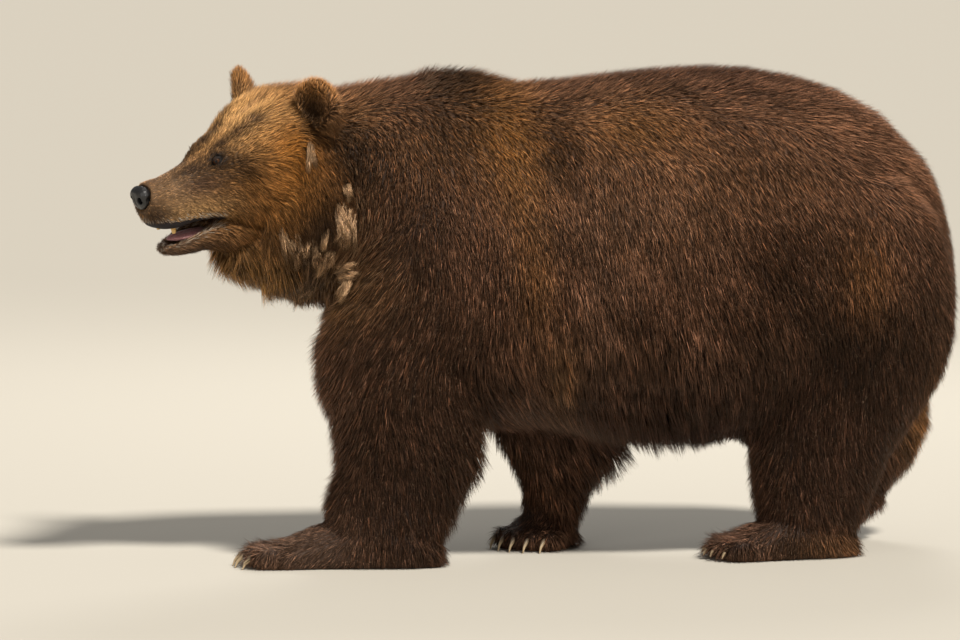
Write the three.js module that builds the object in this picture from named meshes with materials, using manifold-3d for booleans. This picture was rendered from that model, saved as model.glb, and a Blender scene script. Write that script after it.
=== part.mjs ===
// A life-size brown bear, walking, as a still museum model in parts.
// Millimetres, +Z up. The bear walks towards -X, its left side is -Y, and its paws stand on z = 0.
// Every solid reaches out to the tips of the coat.
import * as THREE from 'three';
import { mergeVertices } from 'three/addons/utils/BufferGeometryUtils.js';
import Module from 'manifold-3d';

const wasm = await Module();
wasm.setup();

// ---- Driving sizes ----------------------------------------------------------------------------

const GAP = 0.6; // left between two parts that touch
const TOLERANCE = 0.28; // finer detail than this is left out
const HUMP_TOP = 1086; // the shoulder hump, which is the height of the bear
const BACK_DIP = 1053; // the saddle behind the hump
const LOIN_TOP = 1088; // the back over the loins
const BELLY_LOW = 228; // the lowest hair of the belly
const GIRTH_HALF = 310; // half the width of the trunk
const STANCE_HALF = 137; // a paw's centre line from the middle of the body
const HEAD_PIVOT = new THREE.Vector3(-560, -45, 878); // the joint of head and neck
const HEAD_TURN = 27; // degrees, towards the bear's left
const HEAD_DROP = 11; // degrees, nose down
const HEAD_TILT = 6; // degrees, left ear down
const HEAD_LENGTH = 414; // from the pivot to the tip of the nose
const EYE_RADIUS = 12;
const TOES = 5;
const TOE_SPACING = 33;

// ---- Colours of the parts ---------------------------------------------------------------------

const finish = (color, roughness) => new THREE.MeshStandardMaterial({ color, roughness, metalness: 0 });
const COAT_DARK = finish(0x3a2418, 0.9);
const COAT_LEGS = finish(0x2b1b13, 0.9);
const COAT_NECK = finish(0x44291a, 0.9);
const COAT_FACE = finish(0x7d5230, 0.9);
const COAT_EAR = finish(0x6b4526, 0.9);
const NOSE_SKIN = finish(0x1c1a1b, 0.4);
const TONGUE_SKIN = finish(0xa5646a, 0.45);
const EYE_GLASS = finish(0x160d08, 0.08);
const TOOTH = finish(0xc99a4a, 0.35);
const CLAW_HORN = finish(0xa89878, 0.4);

// ---- Shaping helpers --------------------------------------------------------------------------

const between = (low, high, share) => low + (high - low) * share;

// count places from first to last, both included.
const steps = (first, last, count) => Array.from({ length: count }, (_, i) => between(first, last, i / (count - 1)));

// Turns a table of stations into a function that gives every size smoothly at any place along it.
function smooth(table) {
  const names = Object.keys(table[0]).filter((name) => name !== 'at');
  const places = table.map((station) => station.at);
  const values = table.flatMap((station) => names.map((name) => station[name]));
  const curve = new THREE.CubicInterpolant(places, values, names.length, new Float32Array(names.length));
  return (place) => {
    const sizes = curve.evaluate(place);
    return Object.fromEntries(names.map((name, i) => [name, sizes[i]]));
  };
}

// A round outline with its own reach on each of four sides. Fullness 2 is an ellipse, more is boxier, less is peaked.
function outline(sides, { left, right, up, down, fullUp = 2, fullDown = 2 }) {
  return Array.from({ length: sides }, (_, i) => {
    const angle = (2 * Math.PI * (i + 0.5)) / sides;
    const across = Math.cos(angle);
    const rise = Math.sin(angle);
    const power = 2 / (rise > 0 ? fullUp : fullDown);
    return [
      Math.sign(across) * Math.abs(across) ** power * (across > 0 ? right : left),
      Math.sign(rise) * Math.abs(rise) ** power * (rise > 0 ? up : down),
    ];
  });
}

// A closed shape through rings of equally many points, with a fan over each end.
function loft(rings) {
  const sides = rings[0].length;
  const middle = (ring) => ring.reduce((sum, p) => sum.add(p), new THREE.Vector3()).divideScalar(sides);
  const points = [...rings.flat(), middle(rings[0]), middle(rings.at(-1))];
  const first = rings.length * sides;
  const faces = [];
  for (let r = 0; r + 1 < rings.length; r++) {
    for (let i = 0; i < sides; i++) {
      const j = (i + 1) % sides;
      const [a, b, c, d] = [r * sides + i, r * sides + j, (r + 1) * sides + i, (r + 1) * sides + j];
      faces.push(a, b, d, a, d, c);
    }
  }
  for (let i = 0; i < sides; i++) {
    const j = (i + 1) % sides;
    faces.push(first, j, i, first + 1, (rings.length - 1) * sides + i, (rings.length - 1) * sides + j);
  }
  const shape = new THREE.BufferGeometry().setFromPoints(points);
  return shape.setIndex(faces);
}

// A geometry as a solid, whichever way its faces were wound.
function solid(geometry) {
  const bare = geometry.clone();
  bare.deleteAttribute('normal');
  bare.deleteAttribute('uv');
  const merged = mergeVertices(bare, 1e-3);
  const vertProperties = new Float32Array(merged.attributes.position.array);
  const triVerts = new Uint32Array(merged.index.array);
  const made = new wasm.Manifold(new wasm.Mesh({ numProp: 3, vertProperties, triVerts }));
  if (made.volume() > 0) return made;
  return new wasm.Manifold(new wasm.Mesh({ numProp: 3, vertProperties, triVerts: triVerts.reverse() }));
}

// Parts a solid with a thin plane cut: first what lies ahead of the plane, then what lies behind it.
function parted(body, point, normal) {
  const ahead = normal.clone().normalize();
  const offset = ahead.dot(point);
  return [
    body.trimByPlane(ahead.toArray(), offset + GAP / 2),
    body.trimByPlane(ahead.clone().negate().toArray(), GAP / 2 - offset),
  ];
}

// An ellipsoid with its centre and its three half sizes.
function ellipsoid(centre, reach, sides = 14) {
  const ball = new THREE.SphereGeometry(1, sides, Math.round(sides * 0.6));
  return ball.scale(...reach).translate(...centre);
}

// Moves a shape's points: each swelling lifts those near its centre along its own direction.
function swell(shape, swellings) {
  const place = shape.attributes.position;
  const point = new THREE.Vector3();
  for (let i = 0; i < place.count; i++) {
    point.fromBufferAttribute(place, i);
    const moved = point.clone();
    for (const { centre, radius, lift } of swellings) {
      const share = Math.exp(-(point.distanceToSquared(centre) / radius ** 2));
      moved.addScaledVector(lift, share);
    }
    place.setXYZ(i, ...moved.toArray());
  }
  return shape;
}

// The same swellings on both sides of the middle plane y = 0.
const paired = (list) =>
  list.flatMap(({ centre, radius, lift }) =>
    [1, -1].map((side) => ({
      centre: new THREE.Vector3(centre[0], centre[1] * side, centre[2]),
      radius,
      lift: new THREE.Vector3(lift[0], lift[1] * side, lift[2]),
    })),
  );

// A body section across X, from its station's sizes.
function crossSection(x, { top, bottom, wide, widest, ridge, keel, aside = 0 }, sides, grow = 0) {
  const ring = outline(sides, {
    left: wide + grow,
    right: wide + grow,
    up: top - widest + grow,
    down: widest - bottom + grow,
    fullUp: ridge,
    fullDown: keel,
  });
  return ring.map(([y, z]) => new THREE.Vector3(x, aside + y, widest + z));
}

// ---- The bear -----------------------------------------------------------------------------------

const bear = new THREE.Group();

// Adds a solid as a named mesh whose own origin is at a natural point of the part.
function add(name, made, material, origin) {
  const { vertProperties, triVerts, numProp } = made.simplify(TOLERANCE).getMesh();
  const points = [];
  for (let i = 0; i < vertProperties.length; i += numProp) {
    points.push(new THREE.Vector3(...vertProperties.subarray(i, i + 3)).sub(origin));
  }
  const shape = new THREE.BufferGeometry().setFromPoints(points).setIndex([...triVerts]);
  shape.computeVertexNormals();
  const mesh = new THREE.Mesh(shape, material);
  mesh.name = name;
  mesh.position.copy(origin);
  bear.add(mesh);
}

// ---- Trunk: barrel of ribs and belly, with the shoulder hump ------------------------------------

const TRUNK_SIDES = 24;
const TRUNK = [
  { at: -480, top: 640, bottom: 430, wide: 64, widest: 540, ridge: 2, keel: 2 },
  { at: -464, top: 800, bottom: 372, wide: 150, widest: 570, ridge: 2, keel: 2 },
  { at: -430, top: 930, bottom: 322, wide: 208, widest: 590, ridge: 2, keel: 2 },
  { at: -370, top: 1035, bottom: 292, wide: 246, widest: 600, ridge: 1.9, keel: 2 },
  { at: -300, top: 1077, bottom: 280, wide: 268, widest: 600, ridge: 1.8, keel: 2.1 },
  { at: -228, top: HUMP_TOP, bottom: 275, wide: 277, widest: 590, ridge: 1.75, keel: 2.2 },
  { at: -150, top: 1083, bottom: 272, wide: 284, widest: 570, ridge: 1.75, keel: 2.3 },
  { at: -40, top: BACK_DIP, bottom: 268, wide: 296, widest: 545, ridge: 1.9, keel: 2.3 },
  { at: 60, top: 1064, bottom: 256, wide: GIRTH_HALF - 6, widest: 530, ridge: 2, keel: 2.3 },
  { at: 220, top: 1081, bottom: 240, wide: GIRTH_HALF, widest: 520, ridge: 2.1, keel: 2.3 },
  { at: 400, top: LOIN_TOP, bottom: BELLY_LOW, wide: GIRTH_HALF, widest: 515, ridge: 2.15, keel: 2.2 },
  { at: 490, top: 1079, bottom: 234, wide: 302, widest: 520, ridge: 2.15, keel: 2.1 },
  { at: 630, top: 1046, bottom: 300, wide: 282, widest: 530, ridge: 2.1, keel: 2 },
  { at: 765, top: 976, bottom: 350, wide: 244, widest: 550, ridge: 2, keel: 2 },
  { at: 860, top: 880, bottom: 400, wide: 190, widest: 560, ridge: 2, keel: 2 },
  { at: 910, top: 768, bottom: 450, wide: 128, widest: 565, ridge: 2, keel: 2 },
  { at: 932, top: 640, bottom: 510, wide: 55, widest: 570, ridge: 2, keel: 2 },
];

function trunkSolid() {
  const sizes = smooth(TRUNK);
  const places = [-480, -474, ...steps(-464, 860, 14), 892, 916, 932];
  return solid(loft(places.map((x) => crossSection(x, sizes(x), TRUNK_SIDES))));
}

// ---- Neck: a thick column from the trunk's front to the back of the head -------------------------

const NECK_SIDES = 20;
const NECK = [
  { at: -640, top: 1012, bottom: 600, wide: 150, widest: 812, ridge: 2, keel: 1.9, aside: -62 },
  { at: -580, top: 1042, bottom: 572, wide: 182, widest: 800, ridge: 2, keel: 1.9, aside: -45 },
  { at: -520, top: 1046, bottom: 556, wide: 212, widest: 780, ridge: 2, keel: 1.9, aside: -25 },
  { at: -450, top: 1048, bottom: 530, wide: 228, widest: 750, ridge: 2, keel: 2, aside: -10 },
  { at: -350, top: 1066, bottom: 490, wide: 244, widest: 710, ridge: 1.9, keel: 2, aside: 0 },
  { at: -200, top: 1070, bottom: 450, wide: 246, widest: 690, ridge: 1.8, keel: 2, aside: 0 },
];

function neckSolid() {
  const sizes = smooth(NECK);
  return solid(loft(steps(-640, -200, 6).map((x) => crossSection(x, sizes(x), NECK_SIDES))));
}

// ---- Head: built looking along -X about its pivot, then turned into place ------------------------

const radians = THREE.MathUtils.degToRad;
const headPose = new THREE.Matrix4().compose(
  HEAD_PIVOT,
  new THREE.Quaternion().setFromEuler(
    new THREE.Euler(radians(HEAD_TILT), radians(-HEAD_DROP), radians(HEAD_TURN), 'ZYX'),
  ),
  new THREE.Vector3(1, 1, 1),
);
const onHead = (x, y, z) => new THREE.Vector3(x, y, z).applyMatrix4(headPose);
const headSolid = (shape) => solid(shape.applyMatrix4(headPose));

const HEAD_SIDES = 22;
const LIP_LINE = -68; // the lower edge of the upper lip
const SKULL = [
  { at: -403, top: 24, bottom: -28, wide: 20, widest: -2, ridge: 2, keel: 2 },
  { at: -397, top: 32, bottom: -38, wide: 32, widest: -6, ridge: 2.2, keel: 2.2 },
  { at: -387, top: 36, bottom: -51, wide: 41, widest: -12, ridge: 2.2, keel: 2.4 },
  { at: -370, top: 40, bottom: -61, wide: 50, widest: -18, ridge: 2.2, keel: 2.6 },
  { at: -340, top: 46, bottom: -65, wide: 56, widest: -24, ridge: 2.1, keel: 3 },
  { at: -300, top: 54, bottom: LIP_LINE, wide: 62, widest: -24, ridge: 2.1, keel: 3 },
  { at: -268, top: 63, bottom: LIP_LINE, wide: 71, widest: -22, ridge: 2.2, keel: 3 },
  { at: -235, top: 78, bottom: LIP_LINE - 4, wide: 88, widest: -18, ridge: 2.4, keel: 2.8 },
  { at: -200, top: 92, bottom: -92, wide: 106, widest: -24, ridge: 2.4, keel: 2.4 },
  { at: -160, top: 116, bottom: -112, wide: 126, widest: -26, ridge: 2.3, keel: 2.2 },
  { at: -110, top: 144, bottom: -130, wide: 146, widest: -26, ridge: 2.3, keel: 2.1 },
  { at: -60, top: 164, bottom: -145, wide: 158, widest: -24, ridge: 2.1, keel: 2 },
  { at: -10, top: 174, bottom: -155, wide: 164, widest: -20, ridge: 2, keel: 2 },
  { at: 60, top: 172, bottom: -160, wide: 166, widest: -20, ridge: 2, keel: 2 },
];

// The long hair of the cheeks and throat, which hangs from the corner of the mouth backwards.
const BEARD_FRONT = -184;
const BEARD_HANG = 0.28; // how far it leans forward for each millimetre down, to hang straight
const CHIN_LEVEL = -100;
const BEARD = [
  { at: BEARD_FRONT, top: -60, bottom: -196, wide: 62, widest: -112, ridge: 2, keel: 2.8 },
  { at: -165, top: -10, bottom: -212, wide: 90, widest: -104, ridge: 2, keel: 2.4 },
  { at: -140, top: 20, bottom: -226, wide: 120, widest: -92, ridge: 2, keel: 1.9 },
  { at: -100, top: 30, bottom: -240, wide: 142, widest: -96, ridge: 2, keel: 1.8 },
  { at: -55, top: 30, bottom: -260, wide: 156, widest: -106, ridge: 2, keel: 1.8 },
  { at: -10, top: 30, bottom: -290, wide: 164, widest: -120, ridge: 2, keel: 1.8 },
  { at: 60, top: 30, bottom: -336, wide: 168, widest: -130, ridge: 2, keel: 1.8 },
];

// What rises or sinks on the face, on both sides.
const FACE = paired([
  { centre: [-208, 48, 82], radius: 26, lift: [-3, 6, 9] }, // brow ridge
  { centre: [-229, 60, 57], radius: 17, lift: [4, -10, 0] }, // eye socket
  { centre: [-255, 22, 66], radius: 22, lift: [0, 0, -4] }, // stop, at the root of the muzzle
  { centre: [-120, 52, 132], radius: 40, lift: [-3, 0, 9] }, // forehead dome
  { centre: [-175, 86, 20], radius: 42, lift: [0, 7, 0] }, // cheek bone
  { centre: [-352, 46, -40], radius: 26, lift: [0, 5, -2] }, // whisker pad
  { centre: [-285, 60, 10], radius: 26, lift: [0, -6, 0] }, // hollow under the eye
]);
const FURROW = [{ centre: new THREE.Vector3(-110, 0, 150), radius: 30, lift: new THREE.Vector3(0, 0, -8) }];

// The mouth is a hollow between the lips, narrower than the jaws, that closes at its corners.
const MOUTH = [
  { at: -384, top: -70, bottom: -100, wide: 18, widest: -84, ridge: 2, keel: 2 },
  { at: -360, top: -52, bottom: -112, wide: 31, widest: -84, ridge: 2.4, keel: 2.4 },
  { at: -320, top: -54, bottom: -110, wide: 38, widest: -82, ridge: 2.4, keel: 2.4 },
  { at: -270, top: -56, bottom: -98, wide: 42, widest: -76, ridge: 2.2, keel: 2.2 },
  { at: -226, top: -62, bottom: -82, wide: 34, widest: -72, ridge: 2, keel: 2 },
];

function skullShape(grow = 0) {
  const sizes = smooth(SKULL);
  const places = [-403, -397, -392, ...steps(-387, -130, 12), -100, -60, -20, 60];
  const shape = loft(places.map((x) => crossSection(x, sizes(x), HEAD_SIDES, grow)));
  return swell(shape, [...FACE, ...FURROW]);
}

function beardShape(grow = 0) {
  const sizes = smooth(BEARD);
  const rings = steps(BEARD_FRONT, 60, 7).map((x, i) => {
    const ring = crossSection(i === 0 ? x - grow : x, sizes(x), 16, grow);
    ring.forEach((point) => (point.x += BEARD_HANG * (point.z - CHIN_LEVEL)));
    return ring;
  });
  return loft(rings);
}

function mouthShape() {
  const sizes = smooth(MOUTH);
  return loft(steps(-384, -226, 6).map((x) => crossSection(x, sizes(x), 10)));
}

// ---- Eyes: small balls deep in their sockets ------------------------------------------------------

const EYE_PLACE = [-229, 48.5, 57];
const eyeSolid = (side, grow) => {
  const [x, y, z] = EYE_PLACE;
  return headSolid(ellipsoid([x, side * y, z], Array(3).fill(EYE_RADIUS + grow), 10));
};

// ---- Lower jaw, hanging a little open -------------------------------------------------------------

const JAW = [
  { at: -368, top: -108, bottom: -120, wide: 9, widest: -114, ridge: 2, keel: 2 },
  { at: -362, top: -103, bottom: -128, wide: 23, widest: -115, ridge: 2.2, keel: 2.1 },
  { at: -342, top: -100, bottom: -135, wide: 37, widest: -114, ridge: 2.6, keel: 2.1 },
  { at: -310, top: -93, bottom: -138, wide: 46, widest: -110, ridge: 2.8, keel: 2.1 },
  { at: -270, top: -82, bottom: -137, wide: 56, widest: -104, ridge: 2.8, keel: 2.1 },
  { at: -190, top: -68, bottom: -154, wide: 78, widest: -102, ridge: 2.4, keel: 2 },
  { at: -158, top: -66, bottom: -162, wide: 84, widest: -104, ridge: 2.4, keel: 2 },
];
const JAW_HINGE = -240; // where the jaw meets the throat

function jawShape() {
  const sizes = smooth(JAW);
  const tip = [JAW[0].at, JAW[0].at + 2];
  const rest = steps(JAW[1].at, JAW.at(-1).at, 8);
  return loft([...tip, ...rest].map((x) => crossSection(x, sizes(x), 14)));
}

// The tongue lies in the lower jaw.
const tongueShape = (grow) => ellipsoid([-291, 0, -98], [56 + grow, 27 + grow, 9 + grow], 10);

// ---- Nose pad with two nostrils --------------------------------------------------------------------

const NOSE = [
  { at: -HEAD_LENGTH, top: 23, bottom: 2, wide: 12, widest: 12, ridge: 2, keel: 2 },
  { at: -411, top: 29, bottom: -8, wide: 23, widest: 11, ridge: 2.3, keel: 2 },
  { at: -404, top: 33, bottom: -19, wide: 29, widest: 9, ridge: 2.5, keel: 1.8 },
  { at: -396, top: 35, bottom: -22, wide: 30, widest: 8, ridge: 2.5, keel: 1.7 },
  { at: -384, top: 31, bottom: -16, wide: 26, widest: 7, ridge: 2.3, keel: 1.8 },
];

function noseShape(grow) {
  const sizes = smooth(NOSE);
  const places = [-HEAD_LENGTH - grow, ...steps(-411, -396, 3), -384];
  return loft(places.map((x) => crossSection(x, sizes(Math.max(x, -HEAD_LENGTH)), 14, grow)));
}

const nostrilShape = (side) => ellipsoid([-410, side * 15, 5], [13, 7, 8.5], 8);

// ---- Ears: round cups on top of the head, open to the front ----------------------------------------

const EAR_REACH = [26, 60, 67]; // half the depth, width and height of the ear
const EAR_HOLLOW = [24, 42, 46];
// The middle of each ear, and how far it leans outwards and its cup turns to its side, in degrees. The
// right ear is turned further out than the left.
const EARS = {
  left: { place: [-16, -136, 140], lean: 24, open: 18 },
  right: { place: [-22, 134, 129], lean: 30, open: 42 },
};

function earSolid(flank, grow) {
  const { place, lean, open } = EARS[flank];
  const side = SIDES[flank];
  const cup = solid(ellipsoid([0, 0, 0], EAR_REACH.map((reach) => reach + grow), 12));
  const hollow = solid(ellipsoid([-26, 0, 12], EAR_HOLLOW, 10));
  const turn = new THREE.Euler(radians(-side * lean), radians(-6), radians(-side * open), 'ZXY');
  const pose = new THREE.Matrix4().makeRotationFromEuler(turn).setPosition(...place);
  const shape = grow > 0 ? cup : cup.subtract(hollow);
  return shape.transform(headPose.clone().multiply(pose).toArray());
}

// ---- Teeth ------------------------------------------------------------------------------------------

// A curved, tapering horn, for teeth and claws: it leaves the root along heading and curls towards bend.
function hornShape({ root, heading, bend, curl, length, thick, blunt, sides, rings }, grow = 0) {
  const along = heading.clone().normalize();
  const side = along.clone().cross(bend).normalize();
  const turned = (angle) => along.clone().applyQuaternion(new THREE.Quaternion().setFromAxisAngle(side, angle));
  return loft(
    steps(-grow / length, 1 + grow / length, rings).map((share) => {
      const centre = root.clone().addScaledVector(turned((share * curl) / 2), share * length);
      const out = turned(share * curl).cross(side);
      const radius = thick * between(1, blunt, THREE.MathUtils.clamp(share, 0, 1) ** 1.4) + grow;
      return Array.from({ length: sides }, (_, i) => {
        const angle = (2 * Math.PI * i) / sides;
        const point = centre.clone().addScaledVector(side, Math.cos(angle) * radius * 0.85);
        return point.addScaledVector(out, Math.sin(angle) * radius);
      });
    }),
  );
}

const CANINES = {
  upper: { root: [-343, 28, -56], heading: [-0.1, 0.05, -1], curl: 0.14, length: 25, thick: 8, blunt: 0.55 },
  lower: { root: [-350, 18, -114], heading: [-0.12, 0.08, 1], curl: 0.16, length: 17, thick: 6.5, blunt: 0.5 },
};

function canineShape(jaw, side, grow) {
  const { root, heading, ...sizes } = CANINES[jaw];
  const mirrored = ([x, y, z]) => new THREE.Vector3(x, y * side, z);
  const bend = new THREE.Vector3(1, 0, 0);
  return hornShape({ root: mirrored(root), heading: mirrored(heading), bend, ...sizes, sides: 6, rings: 3 }, grow);
}

// A row of six small front teeth, one with the jaw that they stand in.
const INCISORS = 6;
const INCISOR_ROW = 13; // half the length of the row
const incisors = (x, z, height) =>
  steps(-INCISOR_ROW, INCISOR_ROW, INCISORS)
    .map((y) => headSolid(ellipsoid([x + y * y * 0.03, y, z], [3, 2.7, height], 5)))
    .reduce((row, tooth) => row.add(tooth));

// ---- Limbs ------------------------------------------------------------------------------------------

// Sections of each limb from the floor up: its front and back edges, and how far its inner and outer
// sides are from the middle of the body. The cuts part it at the elbow or knee and at the wrist or ankle.
const LIMBS = {
  fore_left: {
    side: -1,
    names: ['fore_upper_left', 'fore_lower_left', 'fore_paw_left'],
    cuts: [330, 98],
    stations: [
      { at: 45, front: -500, back: -248, inner: 60, outer: 214 },
      { at: 106, front: -520, back: -232, inner: 62, outer: 212 },
      { at: 165, front: -504, back: -170, inner: 60, outer: 218 },
      { at: 225, front: -484, back: -160, inner: 54, outer: 228 },
      { at: 292, front: -490, back: -152, inner: 42, outer: 238 },
      { at: 350, front: -515, back: -142, inner: 30, outer: 248 },
      { at: 430, front: -538, back: -126, inner: 24, outer: 262 },
      { at: 540, front: -514, back: -122, inner: 26, outer: 280 },
      { at: 650, front: -462, back: -130, inner: 40, outer: 288 },
      { at: 750, front: -405, back: -158, inner: 70, outer: 272 },
      { at: 820, front: -345, back: -205, inner: 120, outer: 234 },
    ],
  },
  fore_right: {
    side: 1,
    names: ['fore_upper_right', 'fore_lower_right', 'fore_paw_right'],
    cuts: [330, 96],
    stations: [
      { at: 45, front: -12, back: 96, inner: 72, outer: 206 },
      { at: 90, front: -16, back: 104, inner: 72, outer: 204 },
      { at: 120, front: -17, back: 128, inner: 68, outer: 208 },
      { at: 150, front: -30, back: 150, inner: 62, outer: 212 },
      { at: 185, front: -48, back: 196, inner: 56, outer: 220 },
      { at: 240, front: -74, back: 206, inner: 44, outer: 230 },
      { at: 330, front: -122, back: 190, inner: 30, outer: 246 },
      { at: 440, front: -185, back: 168, inner: 24, outer: 266 },
      { at: 550, front: -232, back: 130, inner: 26, outer: 282 },
      { at: 660, front: -258, back: 70, inner: 42, outer: 288 },
      { at: 760, front: -268, back: -20, inner: 74, outer: 270 },
      { at: 820, front: -250, back: -95, inner: 122, outer: 234 },
    ],
  },
  hind_left: {
    side: -1,
    names: ['hind_upper_left', 'hind_lower_left', 'hind_paw_left'],
    cuts: [360, 100],
    stations: [
      { at: 45, front: 470, back: 676, inner: 64, outer: 208 },
      { at: 100, front: 449, back: 706, inner: 60, outer: 212 },
      { at: 150, front: 438, back: 726, inner: 56, outer: 216 },
      { at: 200, front: 434, back: 745, inner: 50, outer: 224 },
      { at: 255, front: 426, back: 778, inner: 42, outer: 232 },
      { at: 310, front: 430, back: 822, inner: 32, outer: 244 },
      { at: 371, front: 424, back: 868, inner: 24, outer: 260 },
      { at: 430, front: 424, back: 892, inner: 22, outer: 276 },
      { at: 500, front: 436, back: 904, inner: 26, outer: 290 },
      { at: 600, front: 468, back: 898, inner: 40, outer: 297 },
      { at: 700, front: 515, back: 874, inner: 66, outer: 280 },
      { at: 790, front: 575, back: 835, inner: 104, outer: 248 },
      { at: 845, front: 640, back: 770, inner: 145, outer: 212 },
    ],
  },
  hind_right: {
    side: 1,
    names: ['hind_upper_right', 'hind_lower_right', 'hind_paw_right'],
    cuts: [360, 124],
    stations: [
      { at: 90, front: 684, back: 798, inner: 78, outer: 200 },
      { at: 150, front: 696, back: 860, inner: 66, outer: 212 },
      { at: 195, front: 692, back: 900, inner: 60, outer: 220 },
      { at: 250, front: 668, back: 922, inner: 52, outer: 232 },
      { at: 310, front: 626, back: 920, inner: 42, outer: 240 },
      { at: 371, front: 578, back: 922, inner: 30, outer: 258 },
      { at: 430, front: 530, back: 930, inner: 26, outer: 272 },
      { at: 500, front: 490, back: 934, inner: 26, outer: 290 },
      { at: 600, front: 486, back: 922, inner: 40, outer: 297 },
      { at: 700, front: 520, back: 892, inner: 66, outer: 280 },
      { at: 790, front: 575, back: 835, inner: 104, outer: 248 },
      { at: 845, front: 640, back: 770, inner: 145, outer: 212 },
    ],
  },
};
const LIMB_SIDES = 12;
const LIMB_RINGS = 10;
const OUTSIDE = 600; // beyond the widest point of the body
const TUCK = 8; // how much deeper than the limb the cut into the trunk goes

function limbSolid({ side, stations }) {
  const sizes = smooth(stations);
  const rings = steps(stations[0].at, stations.at(-1).at, LIMB_RINGS).map((z) => {
    const { front, back, inner, outer } = sizes(z);
    const [deep, broad] = [(back - front) / 2, (outer - inner) / 2];
    const reach = { left: deep, right: deep, up: broad, down: broad, fullUp: 2.2, fullDown: 2.2 };
    return outline(LIMB_SIDES, reach).map(
      ([x, y]) => new THREE.Vector3((front + back) / 2 + x, side * ((inner + outer) / 2 + y), z),
    );
  });
  return solid(loft(rings));
}

// The space around a limb, open to the outside, that takes its shoulder or haunch out of the trunk.
function limbSpace({ side, stations }, grow) {
  const sizes = smooth(stations);
  const top = stations.at(-1).at + grow;
  const rings = steps(stations[0].at, top, LIMB_RINGS).map((z) => {
    const { front, back, inner } = sizes(Math.min(z, top - grow));
    const near = inner - TUCK - grow;
    return [
      new THREE.Vector3(front - grow, side * near, z),
      new THREE.Vector3(back + grow, side * near, z),
      new THREE.Vector3(back + grow, side * OUTSIDE, z),
      new THREE.Vector3(front - grow, side * OUTSIDE, z),
    ];
  });
  return solid(loft(rings));
}

// ---- Paws: built on the floor with their toes to -X, then turned and set under the limb ------------

// The instep's sections run from the toes back to the heel. The sole is flat from the toes to 'flat',
// and rises behind it by 'rise' for each millimetre where the heel is off the floor.
const PAWS = {
  fore_left: {
    place: [-392, -STANCE_HALF, 0],
    turn: -9,
    flat: 146,
    rise: 0,
    claw: 50,
    instep: [
      { at: -262, top: 44, wide: 74 },
      { at: -236, top: 58, wide: 84 },
      { at: -190, top: 66, wide: 86 },
      { at: -140, top: 92, wide: 82 },
      { at: 0, top: 128, wide: 78 },
      { at: 100, top: 110, wide: 70 },
      { at: 146, top: 52, wide: 36 },
    ],
  },
  fore_right: {
    place: [38, STANCE_HALF + 4, 0],
    turn: 46,
    flat: 62,
    rise: 0,
    claw: 50,
    instep: [
      { at: -104, top: 42, wide: 72 },
      { at: -82, top: 58, wide: 80 },
      { at: -40, top: 84, wide: 80 },
      { at: 0, top: 96, wide: 74 },
      { at: 36, top: 78, wide: 60 },
      { at: 62, top: 40, wide: 34 },
    ],
  },
  hind_left: {
    place: [592, -STANCE_HALF, 0],
    turn: 4,
    flat: 90,
    rise: 0,
    claw: 34,
    instep: [
      { at: -222, top: 40, wide: 68 },
      { at: -192, top: 56, wide: 80 },
      { at: -150, top: 82, wide: 82 },
      { at: -90, top: 104, wide: 80 },
      { at: 0, top: 116, wide: 76 },
      { at: 56, top: 92, wide: 64 },
      { at: 90, top: 46, wide: 36 },
    ],
  },
  hind_right: {
    place: [734, STANCE_HALF, 0],
    turn: 6,
    flat: -56,
    rise: 0.72,
    claw: 34,
    instep: [
      { at: -84, top: 42, wide: 68 },
      { at: -56, top: 66, wide: 80 },
      { at: -10, top: 112, wide: 80 },
      { at: 30, top: 146, wide: 74 },
      { at: 56, top: 156, wide: 60 },
      { at: 74, top: 150, wide: 42 },
    ],
  },
};
const PAW_SIDES = 10;
const SOLE_DEPTH = 14; // how far the round sole dips below the floor before it is cut flat
const TOE_REACH = [40, 20, 29];

// The paw's instep, the middles of its toes, the shapes of its claws, and its pose.
function pawShapes({ place, turn, flat, rise, claw, instep }) {
  const sizes = smooth(instep);
  const rings = steps(instep[0].at, instep.at(-1).at, 7).map((x) => {
    const { top, wide } = sizes(x);
    const low = Math.max(0, x - flat) * rise - SOLE_DEPTH;
    const middle = between(low, top, 0.36);
    const reach = { left: wide, right: wide, up: top - middle, down: middle - low, fullDown: 2.6 };
    return outline(PAW_SIDES, reach).map(([y, z]) => new THREE.Vector3(x, y, middle + z));
  });
  const toes = [];
  const claws = [];
  for (let toe = 0; toe < TOES; toe++) {
    const across = (toe - (TOES - 1) / 2) * TOE_SPACING;
    const forward = instep[0].at + 4 + across ** 2 / 190;
    toes.push([forward, across, 25]);
    claws.push({
      root: new THREE.Vector3(forward - 22, across, 33),
      heading: new THREE.Vector3(-1, 0, -0.3),
      bend: new THREE.Vector3(0, 0, -1),
      curl: 1.1,
      length: claw,
      thick: 7.5,
      blunt: 0.16,
      sides: 5,
      rings: 4,
    });
  }
  const pose = new THREE.Matrix4().makeRotationZ(radians(turn)).setPosition(...place);
  return { instep: loft(rings), toes, claws, pose };
}

// ---- Tail: a short brush flat against the rump ------------------------------------------------------

const TAIL_REACH = [26, 34, 62];
const tailSolid = (grow) => {
  const brush = ellipsoid([0, 0, 0], TAIL_REACH.map((reach) => reach + grow), 9);
  return solid(brush.rotateY(radians(-16)).translate(913, 0, 668));
};

// ---- Assembly: the body whole, then parted ------------------------------------------------------------

const UP = new THREE.Vector3(0, 0, 1);

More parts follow.
